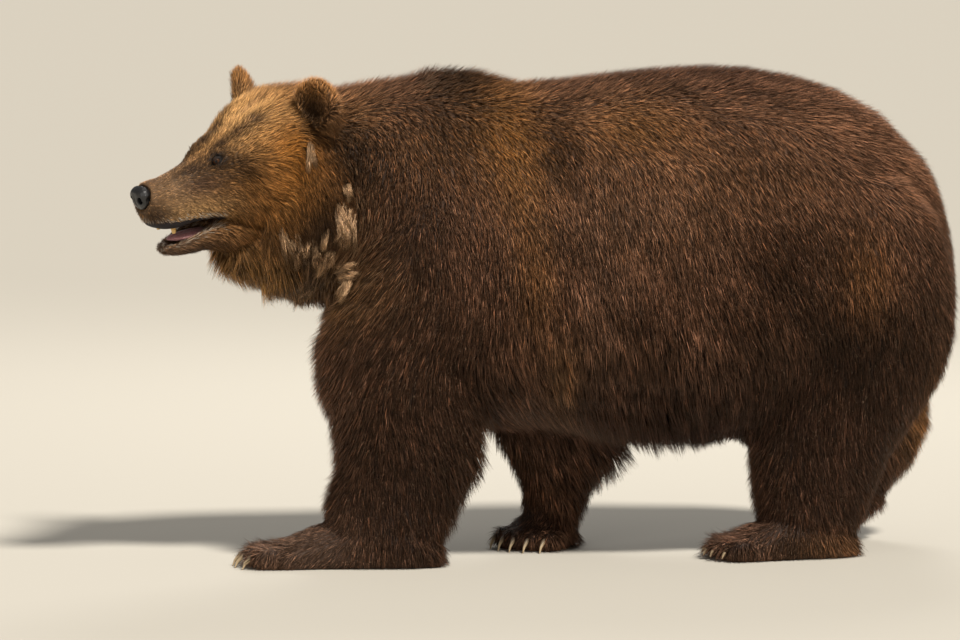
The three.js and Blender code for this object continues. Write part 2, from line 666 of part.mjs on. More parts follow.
// The limb's share of the body and its leg are one solid above the wrist, which the elbow cut parts.
function addLimb(name, body) {
  const limb = LIMBS[name];
  const [elbow, wrist] = limb.cuts;
  const { instep, toes, claws, pose } = pawShapes(PAWS[name]);
  const placed = (made) => made.trimByPlane(UP.toArray(), 0).transform(pose.toArray());
  const toeSolid = (toe, grow) => solid(ellipsoid(toes[toe], TOE_REACH.map((reach) => reach + grow), 6));
  const foot = toes.reduce((made, _, toe) => made.add(toeSolid(toe, 0)), solid(instep));
  const leg = limbSolid(limb).add(placed(foot));
  const [above, paw] = parted(leg, new THREE.Vector3(0, 0, wrist), UP);
  const whole = above.add(body.intersect(limbSpace(limb, 0)));
  const [upper, lower] = parted(whole, new THREE.Vector3(0, 0, elbow), UP);
  const sizes = smooth(limb.stations);
  const joint = (z) => {
    const { front, back, inner, outer } = sizes(z);
    return new THREE.Vector3((front + back) / 2, (limb.side * (inner + outer)) / 2, z);
  };
  const [upperName, lowerName, pawName] = limb.names;
  add(upperName, upper, COAT_DARK, joint(limb.stations.at(-1).at));
  add(lowerName, lower, COAT_LEGS, joint(elbow));
  add(pawName, paw, COAT_LEGS, new THREE.Vector3(...PAWS[name].place));
  claws.forEach((claw, toe) => {
    const horn = solid(hornShape(claw)).subtract(toeSolid(toe, GAP));
    const root = claw.root.clone().applyMatrix4(pose);
    add(`${pawName.replace('paw', 'claw')}_${toe + 1}`, placed(horn), CLAW_HORN, root);
  });
}

const NECK_SEAM = { point: new THREE.Vector3(-345, 0, 1080), normal: new THREE.Vector3(-0.942, 0, 0.336) };
const HEAD_SEAM_TOP = onHead(16, 0, 170); // behind the ears
const HEAD_SEAM_THROAT = onHead(-118, 0, -290); // under the angle of the jaw
const HEAD_SEAM_NORMAL = onHead(-118, 100, -290)
  .sub(HEAD_SEAM_THROAT)
  .cross(HEAD_SEAM_TOP.clone().sub(HEAD_SEAM_THROAT))
  .negate();

const SIDES = { left: -1, right: 1 };

function addBody() {
  const body = trunkSolid().add(neckSolid()).add(headSolid(skullShape())).add(headSolid(beardShape()));
  const [front, barrel] = parted(body, NECK_SEAM.point, NECK_SEAM.normal);
  const bare = front.subtract(earSolid('left', GAP)).subtract(earSolid('right', GAP));
  const [face, neck] = parted(bare, HEAD_SEAM_TOP, HEAD_SEAM_NORMAL);
  let trunk = barrel.subtract(tailSolid(GAP));
  for (const name of Object.keys(LIMBS)) {
    addLimb(name, barrel);
    trunk = trunk.subtract(limbSpace(LIMBS[name], GAP));
  }
  add('trunk', trunk, COAT_DARK, new THREE.Vector3(0, 0, BACK_DIP));
  add('neck', neck, COAT_NECK, NECK_SEAM.point);
  add('tail', tailSolid(0), COAT_DARK, new THREE.Vector3(898, 0, 728));
  addHead(face);
}

function addHead(face) {
  let head = face.subtract(headSolid(mouthShape())).add(incisors(-364, -58, 7));
  let jaw = headSolid(jawShape()).subtract(headSolid(mouthShape())).add(incisors(-354, -109, 9));
  jaw = jaw.subtract(headSolid(skullShape(GAP))).subtract(headSolid(beardShape(GAP)));
  head = head.subtract(headSolid(noseShape(GAP))).subtract(headSolid(tongueShape(GAP)));
  jaw = jaw.subtract(headSolid(tongueShape(GAP)));
  for (const [flank, side] of Object.entries(SIDES)) {
    head = head.subtract(eyeSolid(side, GAP));
    head = head.subtract(headSolid(canineShape('upper', side, GAP)));
    jaw = jaw.subtract(headSolid(canineShape('lower', side, GAP)));
    const [ex, ey, ez] = EARS[flank].place;
    add(`ear_${flank}`, earSolid(flank, 0), COAT_EAR, onHead(ex, ey, ez - EAR_REACH[2]));
    const [x, y, z] = EYE_PLACE;
    add(`eye_${flank}`, eyeSolid(side, 0), EYE_GLASS, onHead(x, y * side, z));
    for (const row of Object.keys(CANINES)) {
      const [cx, cy, cz] = CANINES[row].root;
      add(`canine_${row}_${flank}`, headSolid(canineShape(row, side, 0)), TOOTH, onHead(cx, cy * side, cz));
    }
  }
  const nostrils = Object.values(SIDES).map((side) => headSolid(nostrilShape(side)));
  const nose = headSolid(noseShape(0)).subtract(nostrils[0]).subtract(nostrils[1]);
  add('head', head, COAT_FACE, HEAD_PIVOT);
  add('jaw', jaw, COAT_FACE, onHead(JAW_HINGE, 0, -90));
  add('tongue', headSolid(tongueShape(0)), TONGUE_SKIN, onHead(-240, 0, -98));
  add('nose', nose, NOSE_SKIN, onHead(-HEAD_LENGTH, 0, 8));
}

addBody();

// The origin is the middle of the bear's box, on the floor.
const middle = new THREE.Box3().setFromObject(bear, true).getCenter(new THREE.Vector3());
bear.position.set(-middle.x, -middle.y, 0);

export default bear;
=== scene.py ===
from math import cos, radians, sin

import bpy
import numpy as np
from mathutils import Matrix, Vector
from mathutils.bvhtree import BVHTree
from mathutils.kdtree import KDTree


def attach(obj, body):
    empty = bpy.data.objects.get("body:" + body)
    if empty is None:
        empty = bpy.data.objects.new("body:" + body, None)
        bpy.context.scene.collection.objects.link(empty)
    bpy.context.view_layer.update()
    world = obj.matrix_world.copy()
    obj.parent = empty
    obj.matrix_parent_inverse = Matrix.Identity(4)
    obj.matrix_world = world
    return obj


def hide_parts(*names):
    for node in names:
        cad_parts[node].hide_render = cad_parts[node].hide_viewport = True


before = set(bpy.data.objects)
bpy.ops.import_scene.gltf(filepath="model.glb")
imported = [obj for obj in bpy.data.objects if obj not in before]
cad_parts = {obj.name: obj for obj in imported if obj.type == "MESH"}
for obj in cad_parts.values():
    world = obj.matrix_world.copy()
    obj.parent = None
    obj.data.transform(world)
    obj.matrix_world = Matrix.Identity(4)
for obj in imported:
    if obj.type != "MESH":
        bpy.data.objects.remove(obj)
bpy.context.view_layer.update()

# The room: a wide pale floor, seen by a long lens from the bear's left side, a little above its eyes.
# A broad soft sun stands high to the right of the camera, a fill before the head, a lamp behind the back.
scene = bpy.context.scene
LOOK_AT = Vector((-0.1437, 0.0, 0.521))
STAND_BACK = 10.5
AZIMUTH, ELEVATION = radians(-10), radians(4.5)
FRAME_WIDTH = 960
FOCAL_PIXELS = 4772.7
SENSOR_WIDTH, CLIP_END = 36, 500
FLOOR_SIZE, FLOOR_COLOUR, FLOOR_ROUGH = 400, (0.52, 0.49, 0.43, 1), 0.8
ROOM_COLOUR, ROOM_LIGHT = (0.87, 0.85, 0.82, 1), 0.25
SUN_SPREAD = radians(9)


def settle_object(name):
    """The active object takes this name, with its place, turn and size moved into its mesh."""
    made = bpy.context.object
    made.name = made.data.name = name
    bpy.ops.object.transform_apply(location=True, rotation=True, scale=True)
    return made


def lamp(name, place, aim, power, width, colour):
    """A round soft lamp at a place, or with width None a broad sun from that side."""
    bpy.ops.object.light_add(type="AREA" if width else "SUN", location=place)
    light = bpy.context.object
    light.name = name
    light.rotation_euler = (Vector(aim) - Vector(place)).to_track_quat("-Z", "Y").to_euler()
    light.data.energy = power
    light.data.color = colour
    if width:
        light.data.shape = "DISK"
        light.data.size = width
    else:
        light.data.angle = SUN_SPREAD
    return light


towards = Vector((sin(AZIMUTH) * cos(ELEVATION), -cos(AZIMUTH) * cos(ELEVATION), sin(ELEVATION)))
bpy.ops.object.camera_add(location=LOOK_AT + towards * STAND_BACK)
camera = bpy.context.object
camera.name = "camera"
camera.rotation_euler = (-towards).to_track_quat("-Z", "Y").to_euler()
camera.data.sensor_width = SENSOR_WIDTH
camera.data.lens = FOCAL_PIXELS * camera.data.sensor_width / FRAME_WIDTH
camera.data.clip_end = CLIP_END
scene.camera = camera

bpy.ops.object.select_all(action="DESELECT")
bpy.ops.mesh.primitive_plane_add(size=FLOOR_SIZE, location=(0, 0, 0))
floor = settle_object("floor")
floor_paint = bpy.data.materials.new("floor_paint")
floor_paint.use_nodes = True
floor_shader = floor_paint.node_tree.nodes["Principled BSDF"]
floor_shader.inputs["Base Color"].default_value = FLOOR_COLOUR
floor_shader.inputs["Roughness"].default_value = FLOOR_ROUGH
floor.data.materials.append(floor_paint)

room = bpy.data.worlds.new("room")
room.use_nodes = True
room.node_tree.nodes["Background"].inputs["Color"].default_value = ROOM_COLOUR
room.node_tree.nodes["Background"].inputs["Strength"].default_value = ROOM_LIGHT
scene.world = room
lamp("key_lamp", (1.5, -3.5, 4.6), (0, 0, 0), 4.9, None, (1.0, 0.95, 0.87))
lamp("fill_lamp", (-4.5, -6.0, 2.6), (0, 0, 0.5), 85, 3.5, (1.0, 0.96, 0.91))
lamp("back_lamp", (1.5, 4.5, 4.5), (0, 0, 0.7), 110, 2.5, (1.0, 0.97, 0.92))
scene.view_settings.view_transform = "Standard"

# The skin: one tanned hide, drawn over the carved body and glued, with no seam showing. It is
# melted together from all the flesh solids, smoothed, and sunk by the depth of the coat it carries.
SIDES = {"left": -1, "right": 1}
LIMB_PARTS = [f"{end}_{part}_{side}" for end in ("fore", "hind") for part in ("upper", "lower", "paw")
              for side in SIDES]
FLESH = ["trunk", "neck", "tail", "head", "jaw", "ear_left", "ear_right"] + LIMB_PARTS
SHIFT = Vector((-0.004666, 0, 0))
HEAD_PIVOT = Vector((-0.560, -0.045, 0.878)) + SHIFT
HEAD_TURN = (Matrix.Rotation(radians(27), 3, "Z") @ Matrix.Rotation(radians(-11), 3, "Y")
             @ Matrix.Rotation(radians(6), 3, "X"))
HEAD_AXES = np.array(HEAD_TURN)
VOXEL = 0.0045
SKIN_FACES = 64000
SMOOTH_ROUNDS, FIRM_ROUNDS = 44, 6
BODY_PULL, FIRM_PULL, GIVE_BACK = 0.6, 0.5, 0.55
COAT_DEPTH = {"trunk": 0.017, "neck": 0.020, "tail": 0.014, "head": 0.006, "jaw": 0.003, "ear": 0.003,
              "upper": 0.014, "lower": 0.010, "paw": 0.005}


def in_head(points):
    """Points or directions in the head's own frame: x back from the nose, y to its right, z up."""
    return (np.asarray(points) - np.array(HEAD_PIVOT)) @ HEAD_AXES


def from_head(points):
    """Points in the head's own frame, put back in the room."""
    return np.asarray(points) @ HEAD_AXES.T + np.array(HEAD_PIVOT)


def mesh_points(mesh):
    flat = np.empty(len(mesh.vertices) * 3, np.float32)
    mesh.vertices.foreach_get("co", flat)
    return flat.reshape(-1, 3).astype(float)


def mesh_numbers(mesh, part, field, width):
    """A numpy table read from one field of a mesh's vertices, edges, loops or polygons."""
    rows = getattr(mesh, part)
    flat = np.empty(len(rows) * width, np.int32)
    rows.foreach_get(field, flat)
    return flat.reshape(-1, width)


def put_points(mesh, points):
    mesh.vertices.foreach_set("co", np.asarray(points, np.float32).ravel())
    mesh.update()


def mesh_normals(mesh):
    flat = np.empty(len(mesh.vertices) * 3, np.float32)
    mesh.vertex_normals.foreach_get("vector", flat)
    return flat.reshape(-1, 3).astype(float)


def neighbour_mean(values, edges):
    """The mean of each vertex's neighbours, for a table of values or of points."""
    count = len(values)
    a, b = edges[:, 0], edges[:, 1]
    near = np.bincount(a, minlength=count) + np.bincount(b, minlength=count)
    table = values.reshape(count, -1)
    mean = np.empty_like(table)
    for k in range(table.shape[1]):
        mean[:, k] = (np.bincount(a, table[b, k], count) + np.bincount(b, table[a, k], count)) / near
    return mean.reshape(values.shape)


def rise(values, low, high):
    """0 below low, 1 above high, and smooth between."""
    part = np.clip((np.asarray(values) - low) / (high - low), 0, 1)
    return part * part * (3 - 2 * part)


def copy_of(nodes, name):
    """One merged mesh copied from these CAD nodes."""
    points, faces, count = [], [], 0
    for node in nodes:
        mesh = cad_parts[node].data
        points.append(mesh_points(mesh))
        faces.append(mesh_numbers(mesh, "loops", "vertex_index", 1).reshape(-1, 3) + count)
        count += len(mesh.vertices)
    mesh = bpy.data.meshes.new(name)
    mesh.from_pydata(np.vstack(points).tolist(), [], np.vstack(faces).tolist())
    made = bpy.data.objects.new(name, mesh)
    scene.collection.objects.link(made)
    bpy.ops.object.select_all(action="DESELECT")
    bpy.context.view_layer.objects.active = made
    made.select_set(True)
    bpy.ops.object.mode_set(mode="EDIT")
    bpy.ops.mesh.select_all(action="SELECT")
    bpy.ops.mesh.remove_doubles(threshold=1e-6)
    bpy.ops.object.mode_set(mode="OBJECT")
    return made


def remeshed(made, voxel):
    """Melts the shells of a mesh into one closed skin of even small faces."""
    melt = made.modifiers.new("melt", "REMESH")
    melt.mode, melt.voxel_size = "VOXEL", voxel
    bpy.ops.object.modifier_apply(modifier=melt.name)


skin = copy_of(FLESH, "skin")
solid_faces = mesh_numbers(skin.data, "loops", "vertex_index", 1).reshape(-1, 3)
solid_tree = BVHTree.FromPolygons(mesh_points(skin.data).tolist(), solid_faces.tolist())
solid_owner = []
for node in FLESH:
    solid_owner += [node] * len(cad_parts[node].data.polygons)
remeshed(skin, VOXEL)

# smoothing: many rounds on the body, few on the head, ears and feet
points = mesh_points(skin.data)
edges = mesh_numbers(skin.data, "edges", "vertices", 2)
local = in_head(points)
headness = rise(-local[:, 0], -0.02, 0.09) * rise(local[:, 2], -0.42, -0.30) * (points[:, 0] < -0.45)
earness = rise(local[:, 2], 0.075, 0.10) * (abs(local[:, 0]) < 0.09) * rise(abs(local[:, 1]), 0.09, 0.11)
footness = 1 - rise(points[:, 2], 0.07, 0.16)
firm = np.clip(headness + earness + footness, 0, 1)
for turn in range(SMOOTH_ROUNDS):
    pull = np.where(firm > 0.5, FIRM_PULL if turn < FIRM_ROUNDS else 0.0, BODY_PULL)[:, None]
    points += (neighbour_mean(points, edges) - points) * pull
    if turn % 2:
        points -= (neighbour_mean(points, edges) - points) * pull * GIVE_BACK
put_points(skin.data, points)

# thinning: the body is left with far fewer faces than the head and ears
keep = skin.vertex_groups.new(name="keep")
on_head = np.clip(headness + earness, 0, 1) > 0.5
keep.add(np.flatnonzero(~on_head).tolist(), 1, "REPLACE")
keep.add(np.flatnonzero(on_head).tolist(), 0, "REPLACE")
thin = skin.modifiers.new("thin", "DECIMATE")
thin.ratio = SKIN_FACES / len(skin.data.polygons)
thin.vertex_group = keep.name
thin.vertex_group_factor = 1.5
bpy.ops.object.modifier_apply(modifier=thin.name)
skin.vertex_groups.clear()

# how deep the coat is over each part: none at the eyes, lips, nose and soles, most under the belly
EYE_RADIUS = 0.0102
EYE_PLACE = (-0.2275, 0.0465, 0.0565)
NOSE_PLACE = (-0.398, 0, 0.006)
LIP_LINE = {"front": -0.392, "corner": -0.236, "upper": (-0.054, -0.064), "lower": (-0.101, -0.070)}
BELLY_DEPTH = 0.026
DEPTH_ROUNDS, NORMAL_ROUNDS = 24, 10
SOLE = 0.0015


def far_from(points, places):
    """Each point's distance from the nearest of these places."""
    return np.min([np.linalg.norm(points - np.asarray(place), axis=1) for place in places], axis=0)


def lip_heights(local):
    """The heights of the upper and the lower lip beside each point, from the mouth's front to its corner."""
    along = np.clip((local[:, 0] - LIP_LINE["front"]) / (LIP_LINE["corner"] - LIP_LINE["front"]), 0, 1)
    return [LIP_LINE[lip][0] + along * (LIP_LINE[lip][1] - LIP_LINE[lip][0]) for lip in ("upper", "lower")]


def off_lips(local):
    """How far, above or below, a point in the head's frame is from the open gap of the mouth."""
    upper, lower = lip_heights(local)
    tall = np.maximum(np.maximum(lower - local[:, 2], local[:, 2] - upper), 0)
    back = np.maximum(local[:, 0] - LIP_LINE["corner"], 0)
    return np.hypot(tall, back)


points = mesh_points(skin.data)
edges = mesh_numbers(skin.data, "edges", "vertices", 2)
normals = mesh_normals(skin.data)
owners = [solid_owner[solid_tree.find_nearest(point)[2]] for point in points]
depth = np.array([next(COAT_DEPTH[part] for part in COAT_DEPTH if part in owner) for owner in owners])
on_trunk = np.array([owner == "trunk" for owner in owners])
depth += BELLY_DEPTH * on_trunk * rise(-normals[:, 2], 0.1, 0.8)
for turn in range(DEPTH_ROUNDS):
    depth = neighbour_mean(depth, edges)
local = in_head(points)
eyes = [np.array(EYE_PLACE) * (1, side, 1) for side in SIDES.values()]
bare = rise(far_from(local, eyes), 0.012, 0.035) * rise(far_from(local, [NOSE_PLACE]), 0.03, 0.07)
near_head = (local[:, 0] < 0.05) & (points[:, 0] < -0.45)
bare *= np.where(near_head, rise(off_lips(local), 0.002, 0.022), 1)
depth *= np.where(near_head, bare, 1)
for turn in range(NORMAL_ROUNDS):
    normals += neighbour_mean(normals, edges)
    normals /= np.linalg.norm(normals, axis=1)[:, None]
sink = normals * depth[:, None]
sink[:, 2] *= rise(points[:, 2], 0.0, 0.05)
points -= sink
points[:, 2] = np.where(points[:, 2] < SOLE, 0, points[:, 2])
put_points(skin.data, points)

# lids: the face is cut finer once and the hide round each eye twice; there it is drawn over the ball,
# with an almond opening, a raised rim and a crease outside it
LID = {"opening": (0.0094, 0.0043), "over": 0.0110, "sunk": -0.004, "blend": 3.0, "reach": 0.034}
LID_RIM = {"height": 0.0009, "ring": 1.25, "width": 0.22}
LID_CREASE = {"depth": 0.0014, "ring": 1.95, "width": 0.25}
EYE_LOOKS = (-0.62, 0.77, 0.10)
EYE_SLANT = (0.94, 0.0, 0.34)
FACE_FRONT, FACE_FOOT = -0.13, -0.20
NEAR_EYE = 0.030
bpy.context.view_layer.objects.active = skin
for cut in range(2):
    middles = in_head(np.array([polygon.center for polygon in skin.data.polygons]))
    near = far_from(middles, eyes) < NEAR_EYE
    if cut == 0:
        near = (middles[:, 0] < FACE_FRONT) & (middles[:, 2] > FACE_FOOT)
    chosen = np.zeros(len(skin.data.vertices), bool)
    corner_near = np.repeat(near, mesh_numbers(skin.data, "polygons", "loop_total", 1)[:, 0])
    chosen[mesh_numbers(skin.data, "loops", "vertex_index", 1)[corner_near, 0]] = True
    skin.data.vertices.foreach_set("select", chosen)
    skin.data.edges.foreach_set("select", chosen[mesh_numbers(skin.data, "edges", "vertices", 2)].all(1))
    skin.data.polygons.foreach_set("select", near)
    bpy.ops.object.mode_set(mode="EDIT")
    bpy.ops.mesh.select_mode(type="FACE")
    bpy.ops.mesh.subdivide(number_cuts=1)
    bpy.ops.mesh.select_all(action="SELECT")
    bpy.ops.mesh.quads_convert_to_tris()
    bpy.ops.object.mode_set(mode="OBJECT")
points = mesh_points(skin.data)
edges = mesh_numbers(skin.data, "edges", "vertices", 2)
local = in_head(points)
for eye, side in zip(eyes, SIDES.values()):
    near = far_from(local, [eye]) < LID["reach"]
    for turn in range(6):
        local[near] += (neighbour_mean(local, edges)[near] - local[near]) * 0.5
    looks = Vector((EYE_LOOKS[0], EYE_LOOKS[1] * side, EYE_LOOKS[2])).normalized()
    along = Vector(EYE_SLANT).cross(looks).cross(looks).normalized()
    axes = np.array([along, looks.cross(along), looks])
    seen = (local[near] - eye) @ axes.T
    ring = np.hypot(seen[:, 0] / LID["opening"][0], seen[:, 1] / LID["opening"][1])
    ball = np.sqrt(np.maximum(LID["over"] ** 2 - seen[:, 0] ** 2 - seen[:, 1] ** 2, 0.003 ** 2))
    kept = 1 - rise(ring, 1.15, LID["blend"])
    height = np.maximum(seen[:, 2], ball) * kept + seen[:, 2] * (1 - kept)
    height = np.where(ring < 2.2, ball * kept + seen[:, 2] * (1 - kept), height)
    height += LID_RIM["height"] * np.exp(-((ring - LID_RIM["ring"]) / LID_RIM["width"]) ** 2)
    height -= LID_CREASE["depth"] * np.exp(-((ring - LID_CREASE["ring"]) / LID_CREASE["width"]) ** 2)
    height = LID["sunk"] + (height - LID["sunk"]) * rise(ring, 0.86, 1.04)
    front = seen[:, 2] > -0.008
    seen[front, 2] = height[front]
    local[near] = seen @ axes + eye

# lips: the upper one hangs over the front teeth, and the lower one rises to meet it
LIP_DROP, LIP_RISE, LIP_SOFT = 0.0075, 0.0095, 0.011
upper, lower = lip_heights(local)
in_front = rise(-local[:, 0], 0.290, 0.350) * (points[:, 0] < -0.5)
above = local[:, 2] > (upper + lower) / 2
edge = np.exp(-((local[:, 2] - np.where(above, upper, lower)) / LIP_SOFT) ** 2) * in_front
local[:, 2] += np.where(above, -LIP_DROP, LIP_RISE) * edge
points = from_head(local)
put_points(skin.data, points)

# the hide is unwrapped by its own shape; every tuft's colour patch is put where its root lies on this
bpy.ops.object.mode_set(mode="EDIT")
bpy.ops.mesh.select_all(action="SELECT")
bpy.ops.uv.smart_project(angle_limit=1.15, island_margin=0.002)
bpy.ops.object.mode_set(mode="OBJECT")
skin.data.uv_layers[0].name = "OFBake"
bpy.ops.object.shade_smooth()

# markings: a dark chocolate coat, golden where the old hair is bleached, tan and grizzled on the face. Some
# marks also carry painted shade and painted light, as said beside them.
# Each is a place, how far it reaches along x, y and z, its colour, and how strongly it is laid.
BODY_MARKINGS = {
    "flank": ((0.1, 0, 0.6), (3, 3, 3), (0.155, 0.076, 0.045), 1),
    "upper_side": ((0.25, 0, 0.86), (0.50, 1, 0.13), (0.25, 0.122, 0.060), 0.85),
    "rump": ((0.70, 0, 0.86), (0.14, 1, 0.16), (0.22, 0.108, 0.062), 0.8),
    # the back and hump: a darker coat, with painted shade over it where the top of the coat, seen along the
    # hair, reflects little light
    "back_line_dark_and_shade": ((0.25, 0, 1.10), (0.75, 0.26, 0.095), (0.016, 0.006, 0.0035), 0.94),
    "hump_dark_and_shade": ((-0.22, 0, 1.06), (0.12, 0.4, 0.12), (0.007, 0.003, 0.002), 0.97),
    "shoulder_gold": ((-0.30, -0.28, 0.93), (0.13, 0.3, 0.09), (0.155, 0.075, 0.029), 0.65),
    "neck_gold": ((-0.44, -0.2, 0.98), (0.07, 0.3, 0.07), (0.150, 0.073, 0.028), 0.6),
    "gold_band": ((-0.09, -0.28, 0.84), (0.045, 0.3, 0.11), (0.42, 0.200, 0.075), 0.85),
    "gold_band_low": ((-0.070, -0.28, 0.66), (0.040, 0.3, 0.13), (0.34, 0.160, 0.062), 0.7),
    "gold_streak": ((-0.02, -0.28, 0.88), (0.03, 0.3, 0.06), (0.22, 0.105, 0.040), 0.5),
    "upper_arm": ((-0.33, 0, 0.52), (0.17, 1, 0.26), (0.058, 0.029, 0.018), 0.85),
    "gold_high": ((-0.11, -0.28, 0.94), (0.08, 0.3, 0.10), (0.32, 0.142, 0.034), 0.85),
    "dark_notch": ((0.0, -0.28, 0.93), (0.045, 0.3, 0.11), (0.028, 0.011, 0.005), 0.9),
    "gold_right": ((0.16, -0.28, 0.95), (0.12, 0.3, 0.055), (0.28, 0.130, 0.040), 0.75),
    # a painted sheen: a lighter greyish band along the flank where the coat catches the light
    "painted_sheen": ((0.13, 0, 0.76), (0.20, 1, 0.11), (0.22, 0.118, 0.070), 0.7),
    # painted shade: a dark patch on the hip where shadow falls
    "hip_shade": ((0.47, -0.28, 0.66), (0.09, 0.3, 0.12), (0.045, 0.019, 0.010), 0.75),
    # painted shadow: the thigh is nearly black, as if the belly shaded it from the high sun
    "thigh": ((0.64, 0, 0.46), (0.24, 1, 0.18), (0.008, 0.0042, 0.003), 0.94),
    "clump_bands": ((0.07, -0.28, 0.56), (0.05, 0.3, 0.16), (0.24, 0.135, 0.085), 0.35),
    "belly": ((0.22, 0, 0.32), (0.42, 1, 0.13), (0.044, 0.026, 0.022), 0.85),
    "fore_legs": ((-0.30, 0, 0.15), (0.24, 1, 0.20), (0.050, 0.026, 0.018), 0.85),
    # painted shade: the far legs darkened as if in the body's shadow; like every mark it is laid alike on
    # both sides
    "far_legs_shade": ((0.30, 0.25, 0.15), (0.8, 0.22, 0.35), (0.016, 0.007, 0.004), 0.9),
    "hind_legs": ((0.62, -0.2, 0.17), (0.17, 0.2, 0.18), (0.060, 0.030, 0.020), 0.85),
    "rump_gold": ((0.66, -0.30, 0.65), (0.06, 0.2, 0.09), (0.22, 0.098, 0.036), 0.6),
    "elbow_gold": ((-0.01, -0.28, 0.44), (0.035, 0.3, 0.08), (0.24, 0.125, 0.060), 0.7),
    "hock_gold": ((0.88, 0.1, 0.27), (0.05, 0.3, 0.12), (0.26, 0.125, 0.045), 0.75),
    "heel": ((0.62, -0.14, 0.03), (0.12, 0.12, 0.035), (0.20, 0.100, 0.045), 0.75),
    "toes": ((-0.58, -0.14, 0.05), (0.12, 0.12, 0.06), (0.19, 0.115, 0.078), 0.75),
    "hind_toes": ((0.42, -0.14, 0.05), (0.08, 0.12, 0.06), (0.19, 0.105, 0.070), 0.75),
}
HEAD_MARKINGS = {
    "face": ((-0.17, 0, 0.02), (0.22, 0.22, 0.20), (0.27, 0.125, 0.036), 0.97),
    "neck_dark": ((0.10, 0, -0.08), (0.11, 0.5, 0.15), (0.032, 0.016, 0.009), 0.94),
    "ruff_dark_high": ((0.025, 0.18, 0.03), (0.060, 0.2, 0.09), (0.030, 0.014, 0.007), 0.94),
    # the forehead's pale gold is partly the coat's own colour and partly painted sunlight on the top of the
    # head
    "forehead": ((-0.14, 0, 0.13), (0.10, 0.12, 0.07), (0.84, 0.48, 0.185), 0.97),
    "temple": ((-0.09, 0.13, 0.06), (0.06, 0.06, 0.07), (0.34, 0.130, 0.018), 0.75),
    "muzzle": ((-0.33, 0, 0.0), (0.085, 0.12, 0.09), (0.40, 0.235, 0.112), 0.95),
    "muzzle_gold": ((-0.29, 0, -0.040), (0.08, 0.12, 0.028), (0.56, 0.34, 0.145), 0.75),
    "bridge": ((-0.36, 0, 0.05), (0.08, 0.028, 0.03), (0.20, 0.115, 0.066), 0.7),
    "muzzle_dark": ((-0.275, 0.050, 0.016), (0.060, 0.035, 0.024), (0.085, 0.046, 0.031), 0.8),
    "lip_front": ((-0.385, 0.030, -0.032), (0.028, 0.04, 0.028), (0.060, 0.035, 0.022), 0.85),
    # the stripe along the muzzle and the patch round the eye: dark fur, partly painted shade on the shaded
    # side below the sunlit top and round the sunken eye
    "nose_stripe_dark_and_shade": ((-0.285, 0.026, 0.046), (0.050, 0.020, 0.014), (0.038, 0.021, 0.013), 0.92),
    "eye_patch_dark_and_shade": ((-0.228, 0.055, 0.056), (0.046, 0.05, 0.032), (0.014, 0.008, 0.005), 0.97),
    "eye_streak": ((-0.190, 0.095, 0.040), (0.036, 0.040, 0.024), (0.026, 0.014, 0.007), 0.93),
    # the brow marks: dark fur, partly painted shade below the sunlit forehead
    "brow_top_dark_and_shade": ((-0.132, 0.054, 0.124), (0.030, 0.026, 0.022), (0.050, 0.024, 0.011), 0.92),
    "brow_middle_dark_and_shade": ((-0.168, 0.038, 0.104), (0.034, 0.026, 0.022), (0.040, 0.020, 0.010), 0.94),
    "brow_end_dark_and_shade": ((-0.205, 0.030, 0.084), (0.034, 0.024, 0.020), (0.034, 0.018, 0.010), 0.94),
    "brow_light": ((-0.200, 0.0, 0.100), (0.040, 0.012, 0.016), (0.42, 0.22, 0.09), 0.4),
    # painted shade in the furrow down the middle of the forehead, between its two lit lobes
    "furrow_shade": ((-0.11, 0, 0.15), (0.06, 0.014, 0.05), (0.25, 0.14, 0.07), 0.7),
    "cheek": ((-0.11, 0, -0.03), (0.07, 0.4, 0.07), (0.46, 0.200, 0.048), 0.75),
    "chin": ((-0.31, 0, -0.130), (0.09, 0.1, 0.028), (0.070, 0.048, 0.036), 0.9),
    "beard": ((-0.13, 0, -0.22), (0.12, 0.3, 0.08), (0.46, 0.250, 0.080), 0.85),
    "ears": ((-0.02, 0, 0.185), (0.07, 0.4, 0.034), (0.34, 0.155, 0.045), 0.9),
    "ear_dark": ((-0.035, 0.125, 0.118), (0.038, 0.040, 0.042), (0.012, 0.006, 0.003), 0.96),
    "ruff_dark": ((-0.060, 0.20, -0.09), (0.060, 0.2, 0.07), (0.026, 0.014, 0.008), 0.94),
    "ruff_dark_low": ((-0.100, 0.18, -0.14), (0.052, 0.2, 0.085), (0.026, 0.015, 0.009), 0.95),
    "throat_dark": ((-0.066, 0.17, -0.215), (0.06, 0.2, 0.06), (0.030, 0.018, 0.011), 0.92),
    "crown_dark": ((-0.02, 0, 0.175), (0.05, 0.07, 0.035), (0.13, 0.060, 0.022), 0.8),
}
LIP_COLOUR, MOUTH_COLOUR, LID_COLOUR = (0.016, 0.012, 0.013), (0.20, 0.105, 0.110), (0.012, 0.009, 0.008)
HIDE_SHADE = 0.35
UNMARKED = 0.02


def laid(places, markings, base):
    """The colour at each place: every marking is laid over those before it, alike on both sides."""
    colour = np.array(base, float)
    for place, reach, tint, strength in markings.values():
        away = (places - np.array(place)) / np.array(reach)
        away[:, 1] = (abs(places[:, 1]) - abs(place[1])) / reach[1]
        share = (np.exp(-(away ** 2).sum(1)) * strength)[:, None]
        colour = colour * (1 - share) + np.array(tint) * share
    return colour


def coat_colour(points):
    """The coat's colour at each point: the body's markings, and over them the head's from the nape on."""
    body = laid(points, BODY_MARKINGS, np.full((len(points), 3), UNMARKED))
    local = in_head(points)
    head = laid(local, HEAD_MARKINGS, body)
    share = (rise(-local[:, 0], -0.20, -0.04) * rise(local[:, 2], -0.42, -0.30))[:, None]
    return body * (1 - share) + head * share


points = mesh_points(skin.data)
local = in_head(points)
near_head = (local[:, 0] < 0.02) & (points[:, 0] < -0.45)
tint = coat_colour(points)
